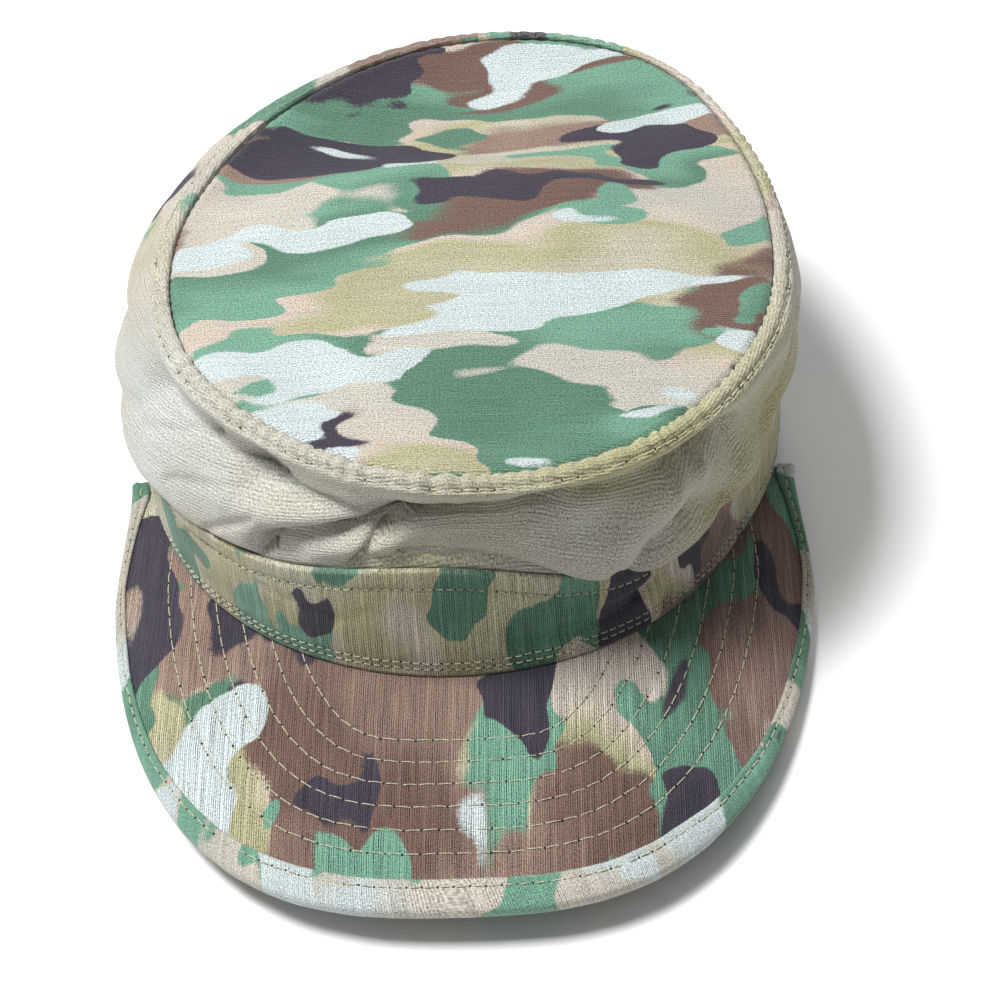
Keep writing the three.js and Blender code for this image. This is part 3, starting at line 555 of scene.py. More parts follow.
fineFolds = (   # sharper creases that the cloth shows besides, those at the front from the left
    (-59, 0.85, -45, 0.83, 0.3, 0.28), (-45, 0.83, -30, 0.77, 0.35, 0.26), (-30, 0.77, -14, 0.66, 0.35, 0.26),
    (-28, 0.0, -28, 0.26, 0.5, 0.18), (-28, 0.3, -17, 0.46, 0.35, 0.26), (-17, 0.46, -3, 0.76, 0.3, 0.3),
    (-13, 0.08, -11, 0.38, 0.35, 0.17), (-11, 0.38, -7, 0.62, 0.4, 0.17), (-7, 0.62, 2, 0.74, 0.4, 0.2),
    (2, 0.76, 20, 0.8, 0.35, 0.28), (20, 0.8, 34, 0.79, 0.45, 0.3), (34, 0.79, 48, 0.62, 0.45, 0.3),
    (24, 0.0, 25, 0.16, 0.5, 0.16), (26, 0.1, 30, 0.28, 0.45, 0.22), (30, 0.28, 38, 0.35, 0.5, 0.24),
    (38, 0.35, 47, 0.22, 0.45, 0.24), (24, 0.38, 33, 0.6, -0.3, 0.35), (33, 0.6, 40, 0.58, -0.35, 0.35),
    (40, 0.58, 56, 0.15, -0.25, 0.35), (-20, 0.12, -8, 0.3, -0.25, 0.5), (-50, 0.35, -34, 0.6, 0.1, 0.14),
    (-62, 0.45, -48, 0.72, 0.1, 0.14), (-40, 0.15, -31, 0.42, 0.12, 0.16), (-6, 0.2, 10, 0.45, 0.1, 0.3),
    (10, 0.3, 24, 0.55, 0.12, 0.3), (60, 0.25, 78, 0.7, 0.25, 0.3), (66, 0.15, 86, 0.4, 0.3, 0.3),
    (-84, 0.2, -64, 0.5, 0.25, 0.3), (-110, 0.35, -84, 0.6, 0.3, 0.35), (110, 0.2, 130, 0.55, 0.25, 0.3),
    (140, 0.6, 170, 0.35, 0.25, 0.3), (175, 0.2, 205, 0.5, 0.25, 0.35), (-172, 0.55, -148, 0.3, 0.2, 0.3),
)
hollow = {      # the front of the wall falls back below the groove: degrees, rise of its upper edge, depth
    "angle": (-32, -24, -14, 0, 12, 24, 36), "edge": (0.3, 0.42, 0.58, 0.74, 0.78, 0.78, 0.76),
    "depth": (0, 1.4, 3.2, 4.6, 4.4, 2.4, 0),
}
hangProfile = {     # where over is 1 the wall folds down past the band's upper edge
    "rise": (0, 0.03, 0.06, 0.09, 0.12, 0.17, 0.25, 0.36, 0.5, 0.65),
    "out": (0, 1.9, 2.5, 2.8, 4.4, 5.2, 4.6, 2.8, 0.9, 0),
    "down": (0, 0.6, 3.2, 6.2, 7.6, 8.2, 7.4, 5.0, 2.0, 0),
}
wallProfile = {
    "rise": (0, 0.18, 0.45, 0.75, 0.93, 1), "toSeam": (0, 0.2, 0.45, 0.75, 0.95, 1),
    "swell": (0, 0.5, 0.95, 1, 0.55, 0),
}
lipProfile = {"way": (0, 0.3, 0.6, 0.78, 1), "reach": (1, 0.6, 0.2, 0, 0), "down": (1, 0.25, 0, 0.45, 1.9)}


def foldDepth(folds, angle, share, height):
    depth = 0.0
    for start, startShare, end, endShare, amount, width in folds:
        middle = math.radians(start + end) / 2
        turned = np.mod(angle - middle + np.pi, 2 * np.pi) - np.pi
        ends = ((math.radians(start) - middle) * head["halfLength"], startShare * height,
                (math.radians(end) - middle) * head["halfLength"], endShare * height)
        depth = depth + pressed(turned * head["halfLength"], share * height, ends,
                                pressing["depth"] * amount, pressing["width"] * width)
    return depth


def rimHeight(y):
    flatTo = head["rimFlat"] * head["halfLength"]
    return head["rimLift"] * np.clip((flatTo - y) / (flatTo + head["halfLength"]), 0, 1) ** head["rimCurve"]


def polar(angle, reach, height, middle=(0.0, 0.0)):
    angle, reach, height = np.broadcast_arrays(angle, reach, height)
    return np.stack([middle[0] + reach * np.sin(angle), middle[1] - reach * np.cos(angle), height], -1)


def bandPoint(angle, share, inset=0.0):
    foot = station("foot", angle) * oval(angle, head["halfWidth"], head["halfLength"])
    hemShare = 1 - crown["hemTuck"] / band["height"]
    dent = (foldDepth(bandFolds, angle, share, band["height"])
            * (1 - smoothstep(share, hemShare - 0.25, hemShare)))
    reach = foot + band["lean"] * station("lean", angle) * share - dent - inset
    height = rimHeight(-foot * np.cos(angle)) + share * band["height"] * station("tall", angle)
    return polar(angle, reach, height)


def shoulderReach(angle):
    return head["gap"] + crown["cloth"] + crown["shoulderWidth"] * station("shoulder", angle)


def crownHeight(y):
    share = (y - crown["shift"][1] + crown["halfLength"]) / (2 * crown["halfLength"])
    return crown["frontHeight"] + (crown["backHeight"] - crown["frontHeight"]) * share


def seamPoint(angle, outwards, down):
    reach = station("seam", angle) * oval(angle, crown["halfWidth"], crown["halfLength"]) + outwards
    point = polar(angle, reach, 0.0 * reach, crown["shift"])
    point[..., 2] = crownHeight(point[..., 1]) - down
    return point


def wallPoint(angle, rise):
    foot = bandPoint(angle, 1.0, band["cloth"] + head["gap"])
    shoulder = seamPoint(angle, shoulderReach(angle), crown["shoulderDrop"])
    lifted = np.clip(rise + station("sag", angle) * math.sin(math.pi * rise), 0, 1)
    swell = crown["bulge"] * station("bulge", angle) * along(wallProfile, "rise", "swell", lifted)
    point = foot + (shoulder - foot) * along(wallProfile, "rise", "toSeam", rise)
    point[..., 2] = foot[..., 2] + (shoulder[..., 2] - foot[..., 2]) * rise
    return point + polar(angle, swell, 0.0)


# Band: outside from the foot up, over the folded edge, down the inside and under
def makeBand():
    look = {"seed": 4.6, "blotch": (0.026, 0.045), "turn": 0, "weave": 0, "rib": 0.26, "first": "mint",
            "ground": (0.37, 0.43, 0.49), "green": 0.56, "brown": 0.59, "dark": 0.65, "pale": 0.8}
    cloth = clothMaterial("bandCloth", look)
    shares = np.linspace(0, 1, band["rows"] + 1)
    outside = np.stack([bandPoint(around, share) for share in shares])
    height = band["height"] * station("tall", around)
    above = shares[:, None] * height
    below = height - above
    ripple = (softNoise(cellsRound(46), above / 9, 11, 46) * 0.3
              + softNoise(cellsRound(120), above / 4, 12, 120) * 0.12)
    pucker = 1 + 0.7 * softNoise(cellsRound(150), above / 30, 13, 150)
    dip = np.exp(-((below - band["topStitch"]) / 0.7) ** 2)
    for stitch in band["footStitches"]:
        dip = dip + 0.7 * np.exp(-((above - stitch) / 0.6) ** 2)
    welt = 0.22 * smoothstep(band["topStitch"] - 0.6 - below, 0, 1.5)
    creases = foldDepth(((16, 0.25, 30, 0.42, 0.12, 0.16), (30, 0.42, 40, 0.85, 0.14, 0.18),
                         (-30, 0.7, -16, 0.5, 0.08, 0.2), (48, 0.2, 60, 0.6, 0.12, 0.2)),
                        around, shares[:, None], 35.5)
    creases = creases + band["backSeam"] * np.exp(-((np.abs(around) - math.pi) * 96 / 0.7) ** 2)
    free = smoothstep(above, 0, 3) * smoothstep(below, 0, 2)
    lift = ripple * free - band["dip"] * dip * pucker + welt - creases * free
    outside = outside + gridNormals(outside, True) * lift[..., None]
    normals = gridNormals(outside, True)
    inside = np.stack([bandPoint(around, share, band["cloth"])
                       for share in np.linspace(1, 0, band["insideRows"] + 1)])

    mesh = ClothMesh("bandCloth")
    u = around * 96.0 + 96.0 * math.pi
    rows = [(outside[j], above[j],
             0.7 * np.exp(-(below[j] / 0.6) ** 2) + 0.4 * np.exp(-(above[j] / 0.6) ** 2), 0)
            for j in range(len(outside))]
    outwards = polar(around, 1.0, 0.0)
    for turn in (0.25, 0.5, 0.75):                      # rolled upper edge
        middle = (outside[-1] + inside[0]) / 2
        half = np.linalg.norm(outside[-1] - inside[0], axis=-1)[:, None] / 2
        angle = math.pi * turn
        rows.append((middle + outwards * half * math.cos(angle) + np.array([0, 0, 0.7]) * math.sin(angle),
                     height + turn, 0.7, 0))
    rows += [(inside[j], height * (2 - j / band["insideRows"]), 0.1, 1) for j in range(len(inside))]
    # painted shade: the band turns dark brown round 46 degrees, where the wall hangs over it and throws its
    # shadow
    warmAndShade = 0.35 + 1.1 * np.exp(-((around - math.radians(46)) / math.radians(24)) ** 2)
    ids = [mesh.addRow(points, np.stack([u, v * np.ones_like(u)], -1), edge, 0, warmAndShade)
           for points, v, edge, kind in rows]
    for k in range(len(ids)):
        mesh.bridge(ids[k], ids[(k + 1) % len(ids)], True,
                    rows[(k + 1) % len(ids)][3] if k + 1 < len(ids) else 0)
    mesh.finish([cloth, insideCloth], ["band"], 2 * math.pi * 96.0)

    lines = []
    for place in ((1 - band["topStitch"] / height), *(s / height for s in band["footStitches"])):
        lines.append((*lineOnGrid(outside, normals, place * band["rows"], 0.12), True))
    sew("bandStitching", lines, band["sewing"], 5)


makeBand()


# Wall of the crown: up from its hem inside the band, over the shoulder and down beside the top panel
def makeCrownWall():
    look = {"seed": 2.2, "blotch": (0.055, 0.03), "turn": 0, "weave": 84, "rib": 0.07, "ribGap": 0.00085,
            "ground": (0.36, 0.47, 0.56), "green": 0.56, "brown": 0.6, "dark": 0.65, "pale": 0.7}
    cloth = clothMaterial("wallCloth", look)
    rows = [bandPoint(around, share, band["cloth"] + head["gap"])
            for share in np.linspace(1 - crown["hemTuck"] / band["height"], 1,
                                     crown["hemRows"], endpoint=False)]
    rises = [0.0] * crown["hemRows"]
    freeHeight = crown["frontHeight"] - head["rimLift"] - band["height"]
    low = np.linspace(0, 0.24, crown["lowRows"], endpoint=False)
    for rise in np.concatenate([low, np.linspace(0.24, 1, crown["rows"] + 1)]):
        rows.append(wallPoint(around, rise))
        rises.append(rise)
    reach = shoulderReach(around)
    for way in np.linspace(0, 1, crown["lipRows"] + 1)[1:]:
        out = crown["ditch"] + (reach - crown["ditch"]) * along(lipProfile, "way", "reach", way)
        rows.append(seamPoint(around, out, crown["shoulderDrop"] * along(lipProfile, "way", "down", way)))
        rises.append(1.0)
    grid, rises = np.stack(rows), np.array(rises)[:, None]
    smooth = grid.copy()
    for _ in range(6):                                  # the shoulder rolls over without a corner
        smooth[1:-1] = (smooth[:-2] + 2 * smooth[1:-1] + smooth[2:]) / 4
    nearSeam = smoothstep(rises, 0.8, 1.0)[..., None]
    nearSeam[-3:] = 0
    grid = grid * (1 - nearSeam) + smooth * nearSeam
    normals = gridNormals(grid, True)
    steps = np.linalg.norm(np.diff(grid, axis=0), axis=-1)
    fromHem = np.concatenate([np.zeros((1, columnsRound)), np.cumsum(steps, 0)])
    ditchRow = len(grid) - 4
    fromDitch = fromHem[ditchRow] - fromHem             # along the cloth, outwards from the ditch
    folded = (foldDepth(wallFolds, around, rises, freeHeight)
              * smoothstep(rises, 0, 0.12) * (1 - smoothstep(rises, 0.85, 1)))
    creased = (foldDepth(fineFolds, around, rises, freeHeight)
               * smoothstep(rises, 0, 0.08) * (1 - smoothstep(rises, 0.75, 0.97)))
    folded = folded * crown["foldMore"] + creased * crown["creaseMore"]
    edge, depth = (along(hollow, "angle", column, np.degrees(around)) for column in ("edge", "depth"))
    folded = folded + depth * smoothstep(edge - rises, -0.02, 0.09) * smoothstep(rises, 0, 0.1)
    free = smoothstep(rises, 0, 0.15) * smoothstep(fromDitch, 3, 10)
    ripple = (softNoise(cellsRound(34), fromHem / 12, 21, 34) * 0.7
              + softNoise(cellsRound(90), fromHem / 5 + 0.3 * cellsRound(90), 22, 90) * 0.22)
    phase = cellsRound(128) + 0.9 * softNoise(cellsRound(40), 0, 23, 40)
    pillow = np.abs(np.sin(np.pi * phase)) ** 0.8 - 0.68     # squares with narrow valleys between
    gather = pillow * (0.8 + 0.6 * softNoise(cellsRound(64), 3, 24, 64))
    strip = (smoothstep(fromDitch, 0.3, 1.2) * (1 - smoothstep(fromDitch, 4.6, 7.5))
             * (0.65 + 0.35 * np.cos(around)))
    welt = crown["welt"] * smoothstep(fromDitch, 0.1, 1.0) * (1 - smoothstep(fromDitch, 3.4, 4.8))
    dip = crown["dip"] * np.exp(-((fromDitch - crown["topStitch"]) / 0.7) ** 2)
    backSeam = band["backSeam"] * np.exp(-((np.abs(around) - math.pi) * 94 / 0.7) ** 2) * free
    lift = ripple * free - folded - backSeam + crown["pucker"] * gather * strip + welt - dip
    grid = grid + normals * lift[..., None]
    normals = gridNormals(grid, True)
    inner = np.linspace(0, len(grid) - 3, 30).round().astype(int)
    inside = grid[inner] - normals[inner] * crown["cloth"]
    over = np.clip(station("over", around), 0, 1)
    grid = grid + polar(around, over * along(hangProfile, "rise", "out", rises),
                        -over * along(hangProfile, "rise", "down", rises))
    inside[-1] = seamPoint(around, head["gap"] + crown["cloth"], crown["cloth"] + head["gap"])
    inside = np.concatenate([inside,
                             seamPoint(around, head["gap"] + crown["cloth"], crown["seamTurn"])[None]])

    mesh = ClothMesh("crownWallCloth")
    u = around * 94.0 + 94.0 * math.pi
    plain = np.clip(station("plain", around), 0, 1)
    # paler and bluish on the lit left, olive and brown on the shaded right: partly the print's tone, partly
    # painted light and shade
    warmAndShade = np.clip(station("warmAndShade", around), 0, 1)
    outer = [mesh.addRow(grid[j], np.stack([u, fromHem[j]], -1),
                         0.9 * np.exp(-((fromDitch[j] - 0.9) / 1.1) ** 2), plain, warmAndShade)
             for j in range(len(grid))]
    inner = [mesh.addRow(points, np.stack([u, np.full_like(u, 3.0 * k)], -1))
             for k, points in enumerate(inside)]
    for a, b in zip(outer, outer[1:]):
        mesh.bridge(a, b, True)
    for a, b in zip(inner, inner[1:]):
        mesh.bridge(b, a, True, 1)
    mesh.bridge(outer[-1], inner[-1], True, 1)
    mesh.bridge(inner[0], outer[0], True, 1)
    mesh.finish([cloth, insideCloth], ["crown_wall"], 2 * math.pi * 94.0)

    place = np.array([np.interp(-crown["topStitch"], -fromDitch[:ditchRow + 1, i], np.arange(ditchRow + 1))
                      for i in range(columnsRound)])
    sew("wallStitching", [(*lineOnGrid(grid, normals, place, 0.1), True)], crown["sewing"], 7)


makeCrownWall()

panel = {
    "dome": 3.0, "ridgeDrop": 8.0, "ridgeSlope": 20.0, "ridgeRise": 1.6, "rows": 84, "insideRows": 22,
    "edgeDrop": 1.1, "edgeWidth": 2.0, "crispShare": 0.5, "crispSlope": 4.0,
}
topFolds = (    # from x, y, to x, y in shares of the crown, depth, width
    (-0.75, -0.35, -0.55, -0.62, 0.35, 1.2),
    (-0.2, -0.45, 0.1, -0.5, -0.25, 1.8),
    (0.35, -0.3, 0.6, -0.5, 0.3, 1.6),
    (-0.3, 0.62, 0.05, 0.72, 0.35, 0.9),
    (0.3, 0.55, 0.65, 0.4, -0.3, 1.4),
    (-0.55, 0.12, -0.62, -0.1, 0.22, 0.7),
    (-0.05, 0.55, 0.35, 0.66, 0.08, 0.25),
    (0.1, 0.78, 0.4, 0.72, 0.07, 0.2),
    (-0.5, 0.5, -0.2, 0.58, 0.07, 0.22),
    (-0.2, 0.42, 0.2, 0.46, 0.06, 0.22),
    (0.45, 0.75, 0.7, 0.52, 0.08, 0.3),
)
ridgeRoute = {
    "x": (-1.1, -0.9, -0.7, -0.48, -0.25, 0, 0.3, 0.55, 0.8, 1.1),
    "y": (-0.1, 0.08, 0.17, 0.25, 0.28, 0.27, 0.23, 0.14, 0.02, -0.05),
    "drop": (0.3, 0.9, 1, 1, 1, 0.9, 0.7, 0.45, 0.2, 0),
    # share of the drop that lies close behind the ridge
    "crisp": (0.2, 0.7, 1, 1, 1, 0.8, 0.5, 0.2, 0.1, 0),
}


# Top panel: a ridge crosses it, and its rear lies lower
def topPoint(angle, share):
    edge = seamPoint(angle, -crown["ditch"], 0.0)
    x = crown["shift"][0] + (edge[..., 0] - crown["shift"][0]) * share
    y = crown["shift"][1] + (edge[..., 1] - crown["shift"][1]) * share
    shareX, shareY = ((x - crown["shift"][0]) / crown["halfWidth"],
                      (y - crown["shift"][1]) / crown["halfLength"])
    behind = (shareY - along(ridgeRoute, "x", "y", shareX)) * crown["halfLength"]
    drop = panel["ridgeDrop"] * np.clip(along(ridgeRoute, "x", "drop", shareX), 0, 1)
    rise = panel["ridgeRise"] * np.exp(-(behind / panel["ridgeSlope"]) ** 2) * drop / panel["ridgeDrop"]
    crisp = panel["crispShare"] * np.clip(along(ridgeRoute, "x", "crisp", shareX), 0, 1)
    fallen = (crisp * smoothstep(behind, 0.5, panel["crispSlope"])
              + (1 - crisp) * smoothstep(behind, 0, panel["ridgeSlope"]))
    height = panel["dome"] * (1 - share * share) + rise - drop * fallen
    flatX, flatY = shareX * crown["halfWidth"], shareY * crown["halfLength"]
    for fromX, fromY, toX, toY, depth, width in topFolds:
        ends = (fromX * crown["halfWidth"], fromY * crown["halfLength"],
                toX * crown["halfWidth"], toY * crown["halfLength"])
        height = height - pressed(flatX, flatY, ends, pressing["depth"] * depth, pressing["width"] * width)
    height = (height + 0.35 * softNoise(x / 17 + 40, y / 17 + 40, 31)
              + 0.1 * softNoise(x / 6 + 40, y / 5 + 40, 32))
    z = crownHeight(y) + height * (1 - share ** 6)
    toEdge = np.linalg.norm(edge[..., :2] - crown["shift"], axis=-1) * (1 - share)
    z = z - panel["edgeDrop"] * (1 - smoothstep(toEdge, 0, panel["edgeWidth"])) ** 2
    # the third value grows behind the ridge and marks where the cloth is coloured darker
    return np.stack([x, y, z], -1), toEdge, smoothstep(behind, -20, 6)


def makeCrownTop():
    look = {"seed": 7.4, "blotch": (0.062, 0.026), "turn": 0, "weave": 90, "rib": 0.07, "ribGap": 0.0008,
            "ground": (0.38, 0.5, 0.58), "green": 0.58, "brown": 0.62, "dark": 0.655, "pale": 0.6}
    cloth = clothMaterial("topCloth", look)
    shares = 1 - np.linspace(0, 1, panel["rows"] + 1)[:-1] ** 1.15
    outside = [topPoint(around, share) for share in shares]
    innerShares = np.linspace(1, 0, panel["insideRows"] + 1)[1:-1]
    under = np.array([0, 0, crown["cloth"]])
    inside = [seamPoint(around, -head["gap"] - crown["cloth"], crown["seamTurn"]),
              seamPoint(around, -head["gap"] - crown["cloth"], crown["cloth"] + 0.6)]
    inside += [topPoint(around, share)[0] - under for share in innerShares]
    gather = np.sin(2 * np.pi * (cellsRound(128) + 0.4 + 0.9 * softNoise(cellsRound(40), 0, 23, 40)))
    mesh = ClothMesh("crownTopCloth")
    flat = lambda points: points[:, :2] + 200.0
    ids = [mesh.addRow(seamPoint(around, -crown["ditch"], down), flat(outside[0][0]))
           for down in (crown["seamTurn"], 2.1)]
    for points, toEdge, rear in outside:
        points[:, 2] += 0.14 * gather * np.exp(-(toEdge / 3) ** 2)
        # behind the ridge the print turns warmer and darker: partly the print, partly painted shade behind
        # the ridge
        ids.append(mesh.addRow(points, flat(points), 0.4 * np.exp(-(toEdge / 0.8) ** 2), 0, 0.3 + 0.7 * rear))
    for a, b in zip(ids, ids[1:]):
        mesh.bridge(a, b, True)
    middle = topPoint(np.zeros(1), 0.0)[0]
    mesh.fan(ids[-1], mesh.addRow(middle, flat(middle))[0])
    innerIds = [mesh.addRow(points, flat(points)) for points in inside]
    for a, b in zip(innerIds, innerIds[1:]):
        mesh.bridge(b, a, True, 1)
    mesh.fan(innerIds[-1][::-1], mesh.addRow(middle - under, flat(middle))[0], 1)
    mesh.bridge(innerIds[0], ids[0], True, 1)
    mesh.finish([cloth, insideCloth], ["crown_top"])


makeCrownTop()

peak = {
    "flare": 5.7, "reach": 66.0, "shiftX": 1.8, "start": 10.3,
    "sideSquareness": 2.74, "frontSquareness": 2.45,
    "thickness": 3.0, "edgeThickness": 2.0, "frontHeight": 11.0, "droop": 3.0, "arch": 2.2,
    "endDegrees": 80.0, "endWidth": 4.5, "columns": 420, "rows": 104,
    "stitchRows": (14.0, 20.4, 26.9, 33.3, 39.8, 46.3), "quilt": 0.42, "quiltWidth": 1.5,
    "sewing": {"pitch": 4.3, "length": 3.6, "thickness": 0.34, "hole": 0.7},
}
binding = {
    "width": 7.5, "cloth": 1.0, "stitch": 2.2, "wave": 0.35, "columns": 640, "legPoints": 9, "roundPoints": 9,
    "sewing": {"pitch": 3.8, "length": 2.5, "thickness": 0.38, "hole": 0.65},
}
bindingStations = {"at": (0, 0.35, 0.6, 0.8, 1), "width": (1, 0.95, 0.8, 0.68, 0.5)}


def peakJoint(end):
    joint = bandPoint(math.radians(peak["endDegrees"]) * end, 0.0, band["cloth"])
    joint[..., 2] -= head["gap"] + peak["thickness"] / 2
    return joint


def peakOutline(end):
    sweep = end * np.pi / 2
    depth = head["halfLength"] + peak["reach"] - peak["start"]
    halfWidth = head["halfWidth"] + peak["flare"]
    x = halfWidth * np.sign(end) * np.abs(np.sin(sweep)) ** (2 / peak["sideSquareness"])
    y = -peak["start"] - depth * np.abs(np.cos(sweep)) ** (2 / peak["frontSquareness"])
    sideHeight = head["gap"] + binding["cloth"] + 0.05 * peak["edgeThickness"]
    sideShare = np.clip(np.abs(x) / halfWidth, 0, 1) ** peak["droop"]
    z = peak["frontHeight"] + (sideHeight - peak["frontHeight"]) * sideShare
    outline = np.stack([x + peak["shiftX"], y, z], -1)
    meeting = bandPoint(math.radians(peak["endDegrees"]) * end, 0.0, -peak["endWidth"])
    meeting[..., 2] -= head["gap"] + peak["thickness"] / 2
    return outline + (meeting - outline) * smoothstep(np.abs(end), 0.84, 1)[..., None]


def peakWidth(end):
    return np.linalg.norm(peakJoint(end) - peakOutline(end), axis=-1)


def peakPoint(end, out):
    end, out = np.broadcast_arrays(np.asarray(end, float), np.asarray(out, float))
    joint, outline, width = peakJoint(end), peakOutline(end), peakWidth(end)
    free = np.clip((out * width - band["cloth"]) / (width - band["cloth"]), 0, 1)
    point = joint + (outline - joint) * out[..., None]
    point[..., 2] += peak["arch"] * width / peak["reach"] * 4 * free * (1 - free)
    return point


def peakNormal(end, out):
    step = 0.01
    sideways = peakPoint(np.minimum(end + step, 1), out) - peakPoint(np.maximum(end - step, -1), out)
    inwards = peakPoint(end, np.maximum(out - step, 0)) - peakPoint(end, np.minimum(out + step, 1))
    normal = unit(np.cross(sideways, inwards))
    share = smoothstep(out * peakWidth(end), band["cloth"], 3 * band["cloth"])[..., None]
    return unit(np.array([0, 0, 1.0]) * (1 - share) + normal * share)


def bindingLeg(end):
    share = along(bindingStations, "at", "width", np.abs(end))
    return np.minimum(binding["width"] * share, peakWidth(end) - band["cloth"] - 2 * head["gap"])


# Plan distance of points from the peak's outline
def fromOutline(points):
    rim = peakOutline(np.linspace(-1, 1, 900))[:, :2]
    flat = points[..., :2].reshape(-1, 2)
    away = [np.sqrt(((part[:, None] - rim[None]) ** 2).sum(-1).min(1)) for part in np.array_split(flat, 60)]
    return np.concatenate(away).reshape(points.shape[:-1])


def makePeak():
    look = {"seed": 5.8, "blotch": (0.034, 0.06), "turn": 5, "weave": 0, "rib": 0.26,
            "ground": (0.3, 0.38, 0.46), "green": 0.55, "brown": 0.48, "dark": 0.62, "pale": 0.69}
    cloth = clothMaterial("peakCloth", look)
    ends = np.linspace(-1, 1, peak["columns"] + 1)
    outs = np.linspace(0, 1, peak["rows"] + 1)
    gridEnd, gridOut = np.meshgrid(ends, outs)
    middle, normal = peakPoint(gridEnd, gridOut), peakNormal(gridEnd, gridOut)
    width = peakWidth(ends)[None]
    thickness = peak["edgeThickness"] + (peak["thickness"] - peak["edgeThickness"]) * smoothstep(
        (1 - gridOut) * width, bindingLeg(ends)[None] + binding["cloth"], 2 * binding["width"])
    away = fromOutline(middle)
    fromJoint = gridOut * width
    quilt = 0.0
    for row in peak["stitchRows"]:
        quilt = quilt + np.exp(-((away - row) / peak["quiltWidth"]) ** 2)
    between = smoothstep(away, peak["stitchRows"][0] - 5, peak["stitchRows"][0])
    ripple = softNoise(middle[..., 0] / 5 + 40, middle[..., 1] / 5 + 60, 41) * 0.1 + softNoise(
        middle[..., 0] / 16 + 40, middle[..., 1] / 16 + 60, 42) * 0.16
    pucker = 1 + 0.5 * softNoise(middle[..., 0] / 2.1 + 80, middle[..., 1] / 2.1 + 90, 43)
    free = smoothstep(fromJoint, 3, 8) * smoothstep(away, 6, 10)
    lift = (ripple + 0.22 * between - peak["quilt"] * quilt * pucker) * free
    upper = middle + normal * (thickness / 2 + lift)[..., None]
    lower = middle - normal * (thickness / 2 + lift * 0.8)[..., None]

    mesh = ClothMesh("peakCloth")
    flat = lambda points: points[:, :2] + 300.0
    upperIds = [mesh.addRow(points, flat(points)) for points in upper]
    lowerIds = [mesh.addRow(points, flat(points) * (-1, 1)) for points in lower]
    for k in range(len(outs) - 1):
        mesh.bridge(upperIds[k + 1], upperIds[k], False)
        mesh.bridge(lowerIds[k], lowerIds[k + 1], False)
    mesh.bridge(upperIds[0], lowerIds[0], False)
    mesh.bridge(lowerIds[-1], upperIds[-1], False)
    column = lambda ids, k: np.array([row[k] for row in ids])
    mesh.bridge(column(lowerIds, 0), column(upperIds, 0), False)
    mesh.bridge(column(upperIds, -1), column(lowerIds, -1), False)
    mesh.finish([cloth], ["peak"])

    faces = [(r * len(ends) + c, r * len(ends) + c + 1, (r + 1) * len(ends) + c + 1, (r + 1) * len(ends) + c)
             for r in range(len(outs) - 1) for c in range(len(ends) - 1)]
    lines = []
    rim = peakOutline(np.linspace(-1, 1, 1200))[:, :2]
    side = np.gradient(rim, axis=0)
    inward = unit(np.stack([-side[:, 1], side[:, 0]], -1))
    for surface, sign in ((upper, 1.0), (lower, -1.0)):
        tree = BVHTree.FromPolygons(surface.reshape(-1, 3).tolist(), faces)
        for row in peak["stitchRows"]:
            route = rim + inward * row
            angle = np.arctan2(route[:, 0], -route[:, 1])
            foot = station("foot", angle) * oval(angle, head["halfWidth"], head["halfLength"])
            clear = np.hypot(route[:, 0], route[:, 1]) > foot + 0.6
            clear &= fromOutline(np.column_stack([route, np.zeros(len(route))])) > row - 0.15
            points, ups = [], []
            for x, y in route[clear]:
                hit, up, _, _ = tree.ray_cast(Vector((x, y, 60 * sign)), Vector((0, 0, -sign)))
                if hit is not None:
                    points.append(np.array(hit))
                    ups.append(np.array(up) * (1 if up.z * sign > 0 else -1))
            points, ups = np.array(points), np.array(ups)
            lines.append((points + ups * 0.1, ups, False))
    sew("peakStitching", lines, peak["sewing"], 9)


makePeak()


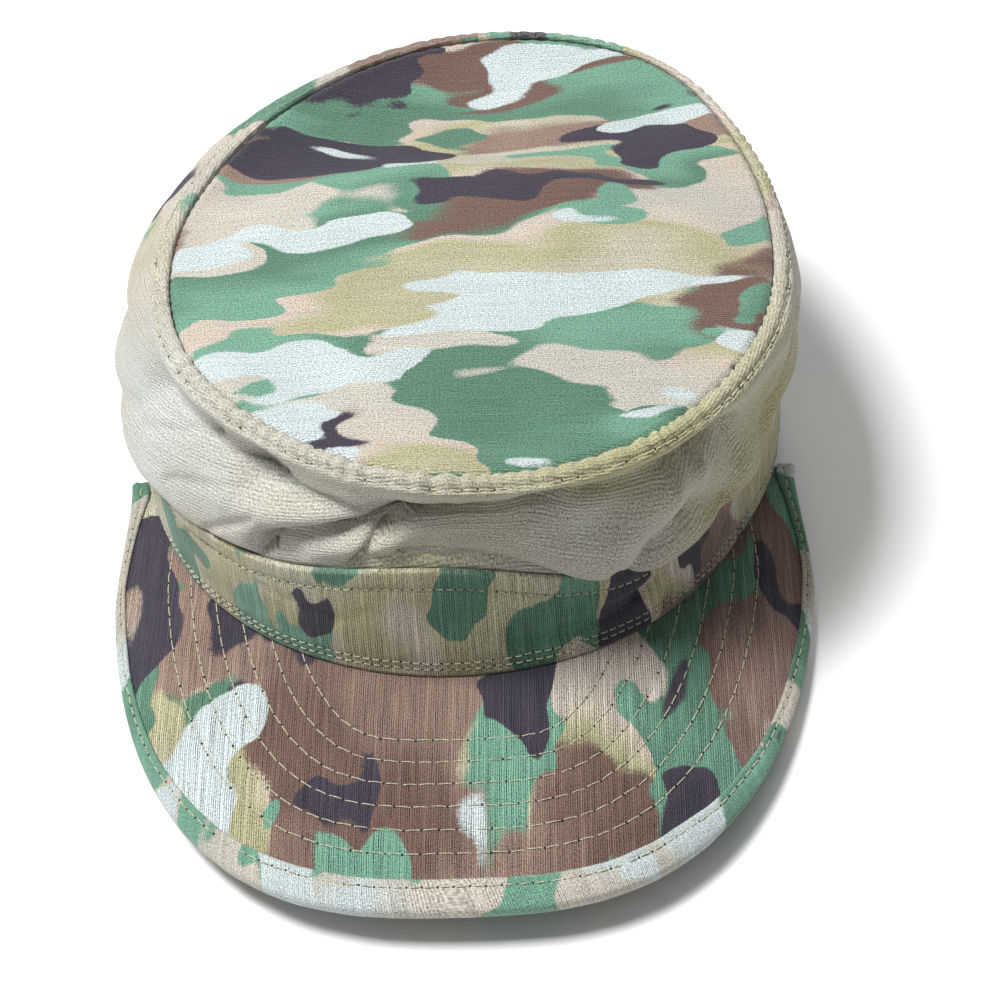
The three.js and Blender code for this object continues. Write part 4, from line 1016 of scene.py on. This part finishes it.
# Binding: a folded strip that grips the peak's edge, sewn through near its inner edges
def makeBinding():
    look = {"seed": 12.7, "blotch": (0.034, 0.05), "turn": 0, "weave": 14, "rib": 0.13, "first": "mint",
            "ground": (0.54, 0.86, 0.92), "green": 0.56, "brown": 0.74, "dark": 0.7, "pale": 0.66}
    cloth = clothMaterial("bindingCloth", look)
    ends = np.linspace(-1, 1, binding["columns"] + 1)
    place = (ends + 1) * 190.0                          # about a millimetre each along the edge
    width = peakWidth(ends)
    leg = bindingLeg(ends) + binding["wave"] * softNoise(place / 14, 1, 51) * np.clip(width / 30, 0, 1)
    outwards = unit(peakPoint(ends, 1.0) - peakPoint(ends, 0.9))

    def at(back, height):
        out = 1 - np.maximum(back, 0) / width
        point = peakPoint(ends, out) + peakNormal(ends, out) * np.asarray(height)[..., None]
        return point + outwards * np.maximum(-back, 0)[:, None]

    def section(lift, forward, pad):
        rows = []
        for side in (1, -1):
            leftOver = np.linspace(1, 0, binding["legPoints"] + 1)[:-1]
            legRows = []
            for share in leftOver:
                back = leg * share
                seam = np.exp(-((leg - back - binding["stitch"]) / 0.7) ** 2)
                body = pad * (0.3 * np.sin(
                    np.pi * np.clip(back / np.maximum(leg - binding["stitch"], 1), 0, 1))
                              + 0.16 * softNoise(place / 3.2, share * 3 + 5 * side, 52) - 0.32 * seam
                              - 0.5 * np.exp(-((leg - back) / 0.5) ** 2))
                legRows.append(at(back, side * (lift + body)))
            rows.append(legRows)
        turn = np.linspace(math.pi / 2, -math.pi / 2, binding["roundPoints"])
        bow = 1 + pad * 0.07 * softNoise(place / 5, 2, 53)
        edge = [at(-forward * math.cos(a) * bow, np.full_like(ends, lift * math.sin(a))) for a in turn]
        return np.stack(rows[0] + edge + rows[1][::-1])

    near = peak["edgeThickness"] / 2 + head["gap"]
    outer = section(near + binding["cloth"], head["gap"] + binding["cloth"], 1.0)
    inner = section(near, head["gap"], 0.0)
    across = np.concatenate([[0], np.cumsum(np.linalg.norm(np.diff(outer, axis=0), axis=-1).mean(1))])
    mesh = ClothMesh("bindingCloth")
    count = len(outer)
    wear = np.exp(-((np.arange(count) - (count - 1) / 2) / 3.2) ** 2) * 0.6
    wear[[0, -1]] = 0.8
    outerIds = [mesh.addRow(outer[k], np.stack([place, np.full_like(place, across[k])], -1), wear[k])
                for k in range(count)]
    innerIds = [mesh.addRow(inner[k], np.stack([place, np.full_like(place, across[k])], -1))
                for k in range(count)]
    for k in range(count - 1):
        mesh.bridge(outerIds[k + 1], outerIds[k], False)
        mesh.bridge(innerIds[k], innerIds[k + 1], False)
    mesh.bridge(outerIds[0], innerIds[0], False)
    mesh.bridge(innerIds[-1], outerIds[-1], False)
    column = lambda ids, k: np.array([row[k] for row in ids])
    mesh.bridge(column(innerIds, 0), column(outerIds, 0), False)
    mesh.bridge(column(outerIds, -1), column(innerIds, -1), False)
    mesh.finish([cloth], ["peak_binding"])

    lines = []
    for side in (1, -1):
        back = np.maximum(leg - binding["stitch"], 0.4)
        out = 1 - back / width
        up = peakNormal(ends, out) * side
        line = peakPoint(ends, out) + up * (near + binding["cloth"] - 0.12)
        lines.append((line[9:-9], up[9:-9], False))
    sew("bindingStitching", lines, binding["sewing"], 11)


makeBinding()


# Pale floor and soft studio light from the left
def makeStage():
    floor = bpy.data.objects.new("floor", bpy.data.meshes.new("floor"))
    floor.data.from_pydata([(-4, -4, -0.0004), (4, -4, -0.0004), (4, 4, -0.0004), (-4, 4, -0.0004)], [],
                           [(0, 1, 2, 3)])
    paper = bpy.data.materials.new("floorPaper")
    paper.use_nodes = True
    shader = paper.node_tree.nodes["Principled BSDF"]
    shader.inputs["Base Color"].default_value = (0.93, 0.93, 0.93, 1)
    shader.inputs["Roughness"].default_value = 0.9
    floor.data.materials.append(paper)
    bpy.context.scene.collection.objects.link(floor)
    world = bpy.data.worlds.new("studio")
    world.use_nodes = True
    world.node_tree.nodes["Background"].inputs["Color"].default_value = (1.0, 1.0, 1.0, 1)
    world.node_tree.nodes["Background"].inputs["Strength"].default_value = 0.27
    bpy.context.scene.world = world
    for name, place, size, power, colour in (
        ("keyLight", (-0.6, 0.0, 1.46), 0.5, 32.0, (0.99, 1.0, 1.0)),
        ("rearLight", (0.3, 1.1, 1.4), 1.2, 5.0, (1.0, 0.98, 0.95)),
    ):
        light = bpy.data.objects.new(name, bpy.data.lights.new(name, "AREA"))
        light.data.size, light.data.energy, light.data.color = size, power, colour
        light.location = place
        light.rotation_euler = (Vector((0, 0, 0.04)) - Vector(place)).to_track_quat("-Z", "Y").to_euler()
        bpy.context.scene.collection.objects.link(light)
    bpy.context.scene.view_settings.view_transform = "Standard"


makeStage()
print("stage lit")
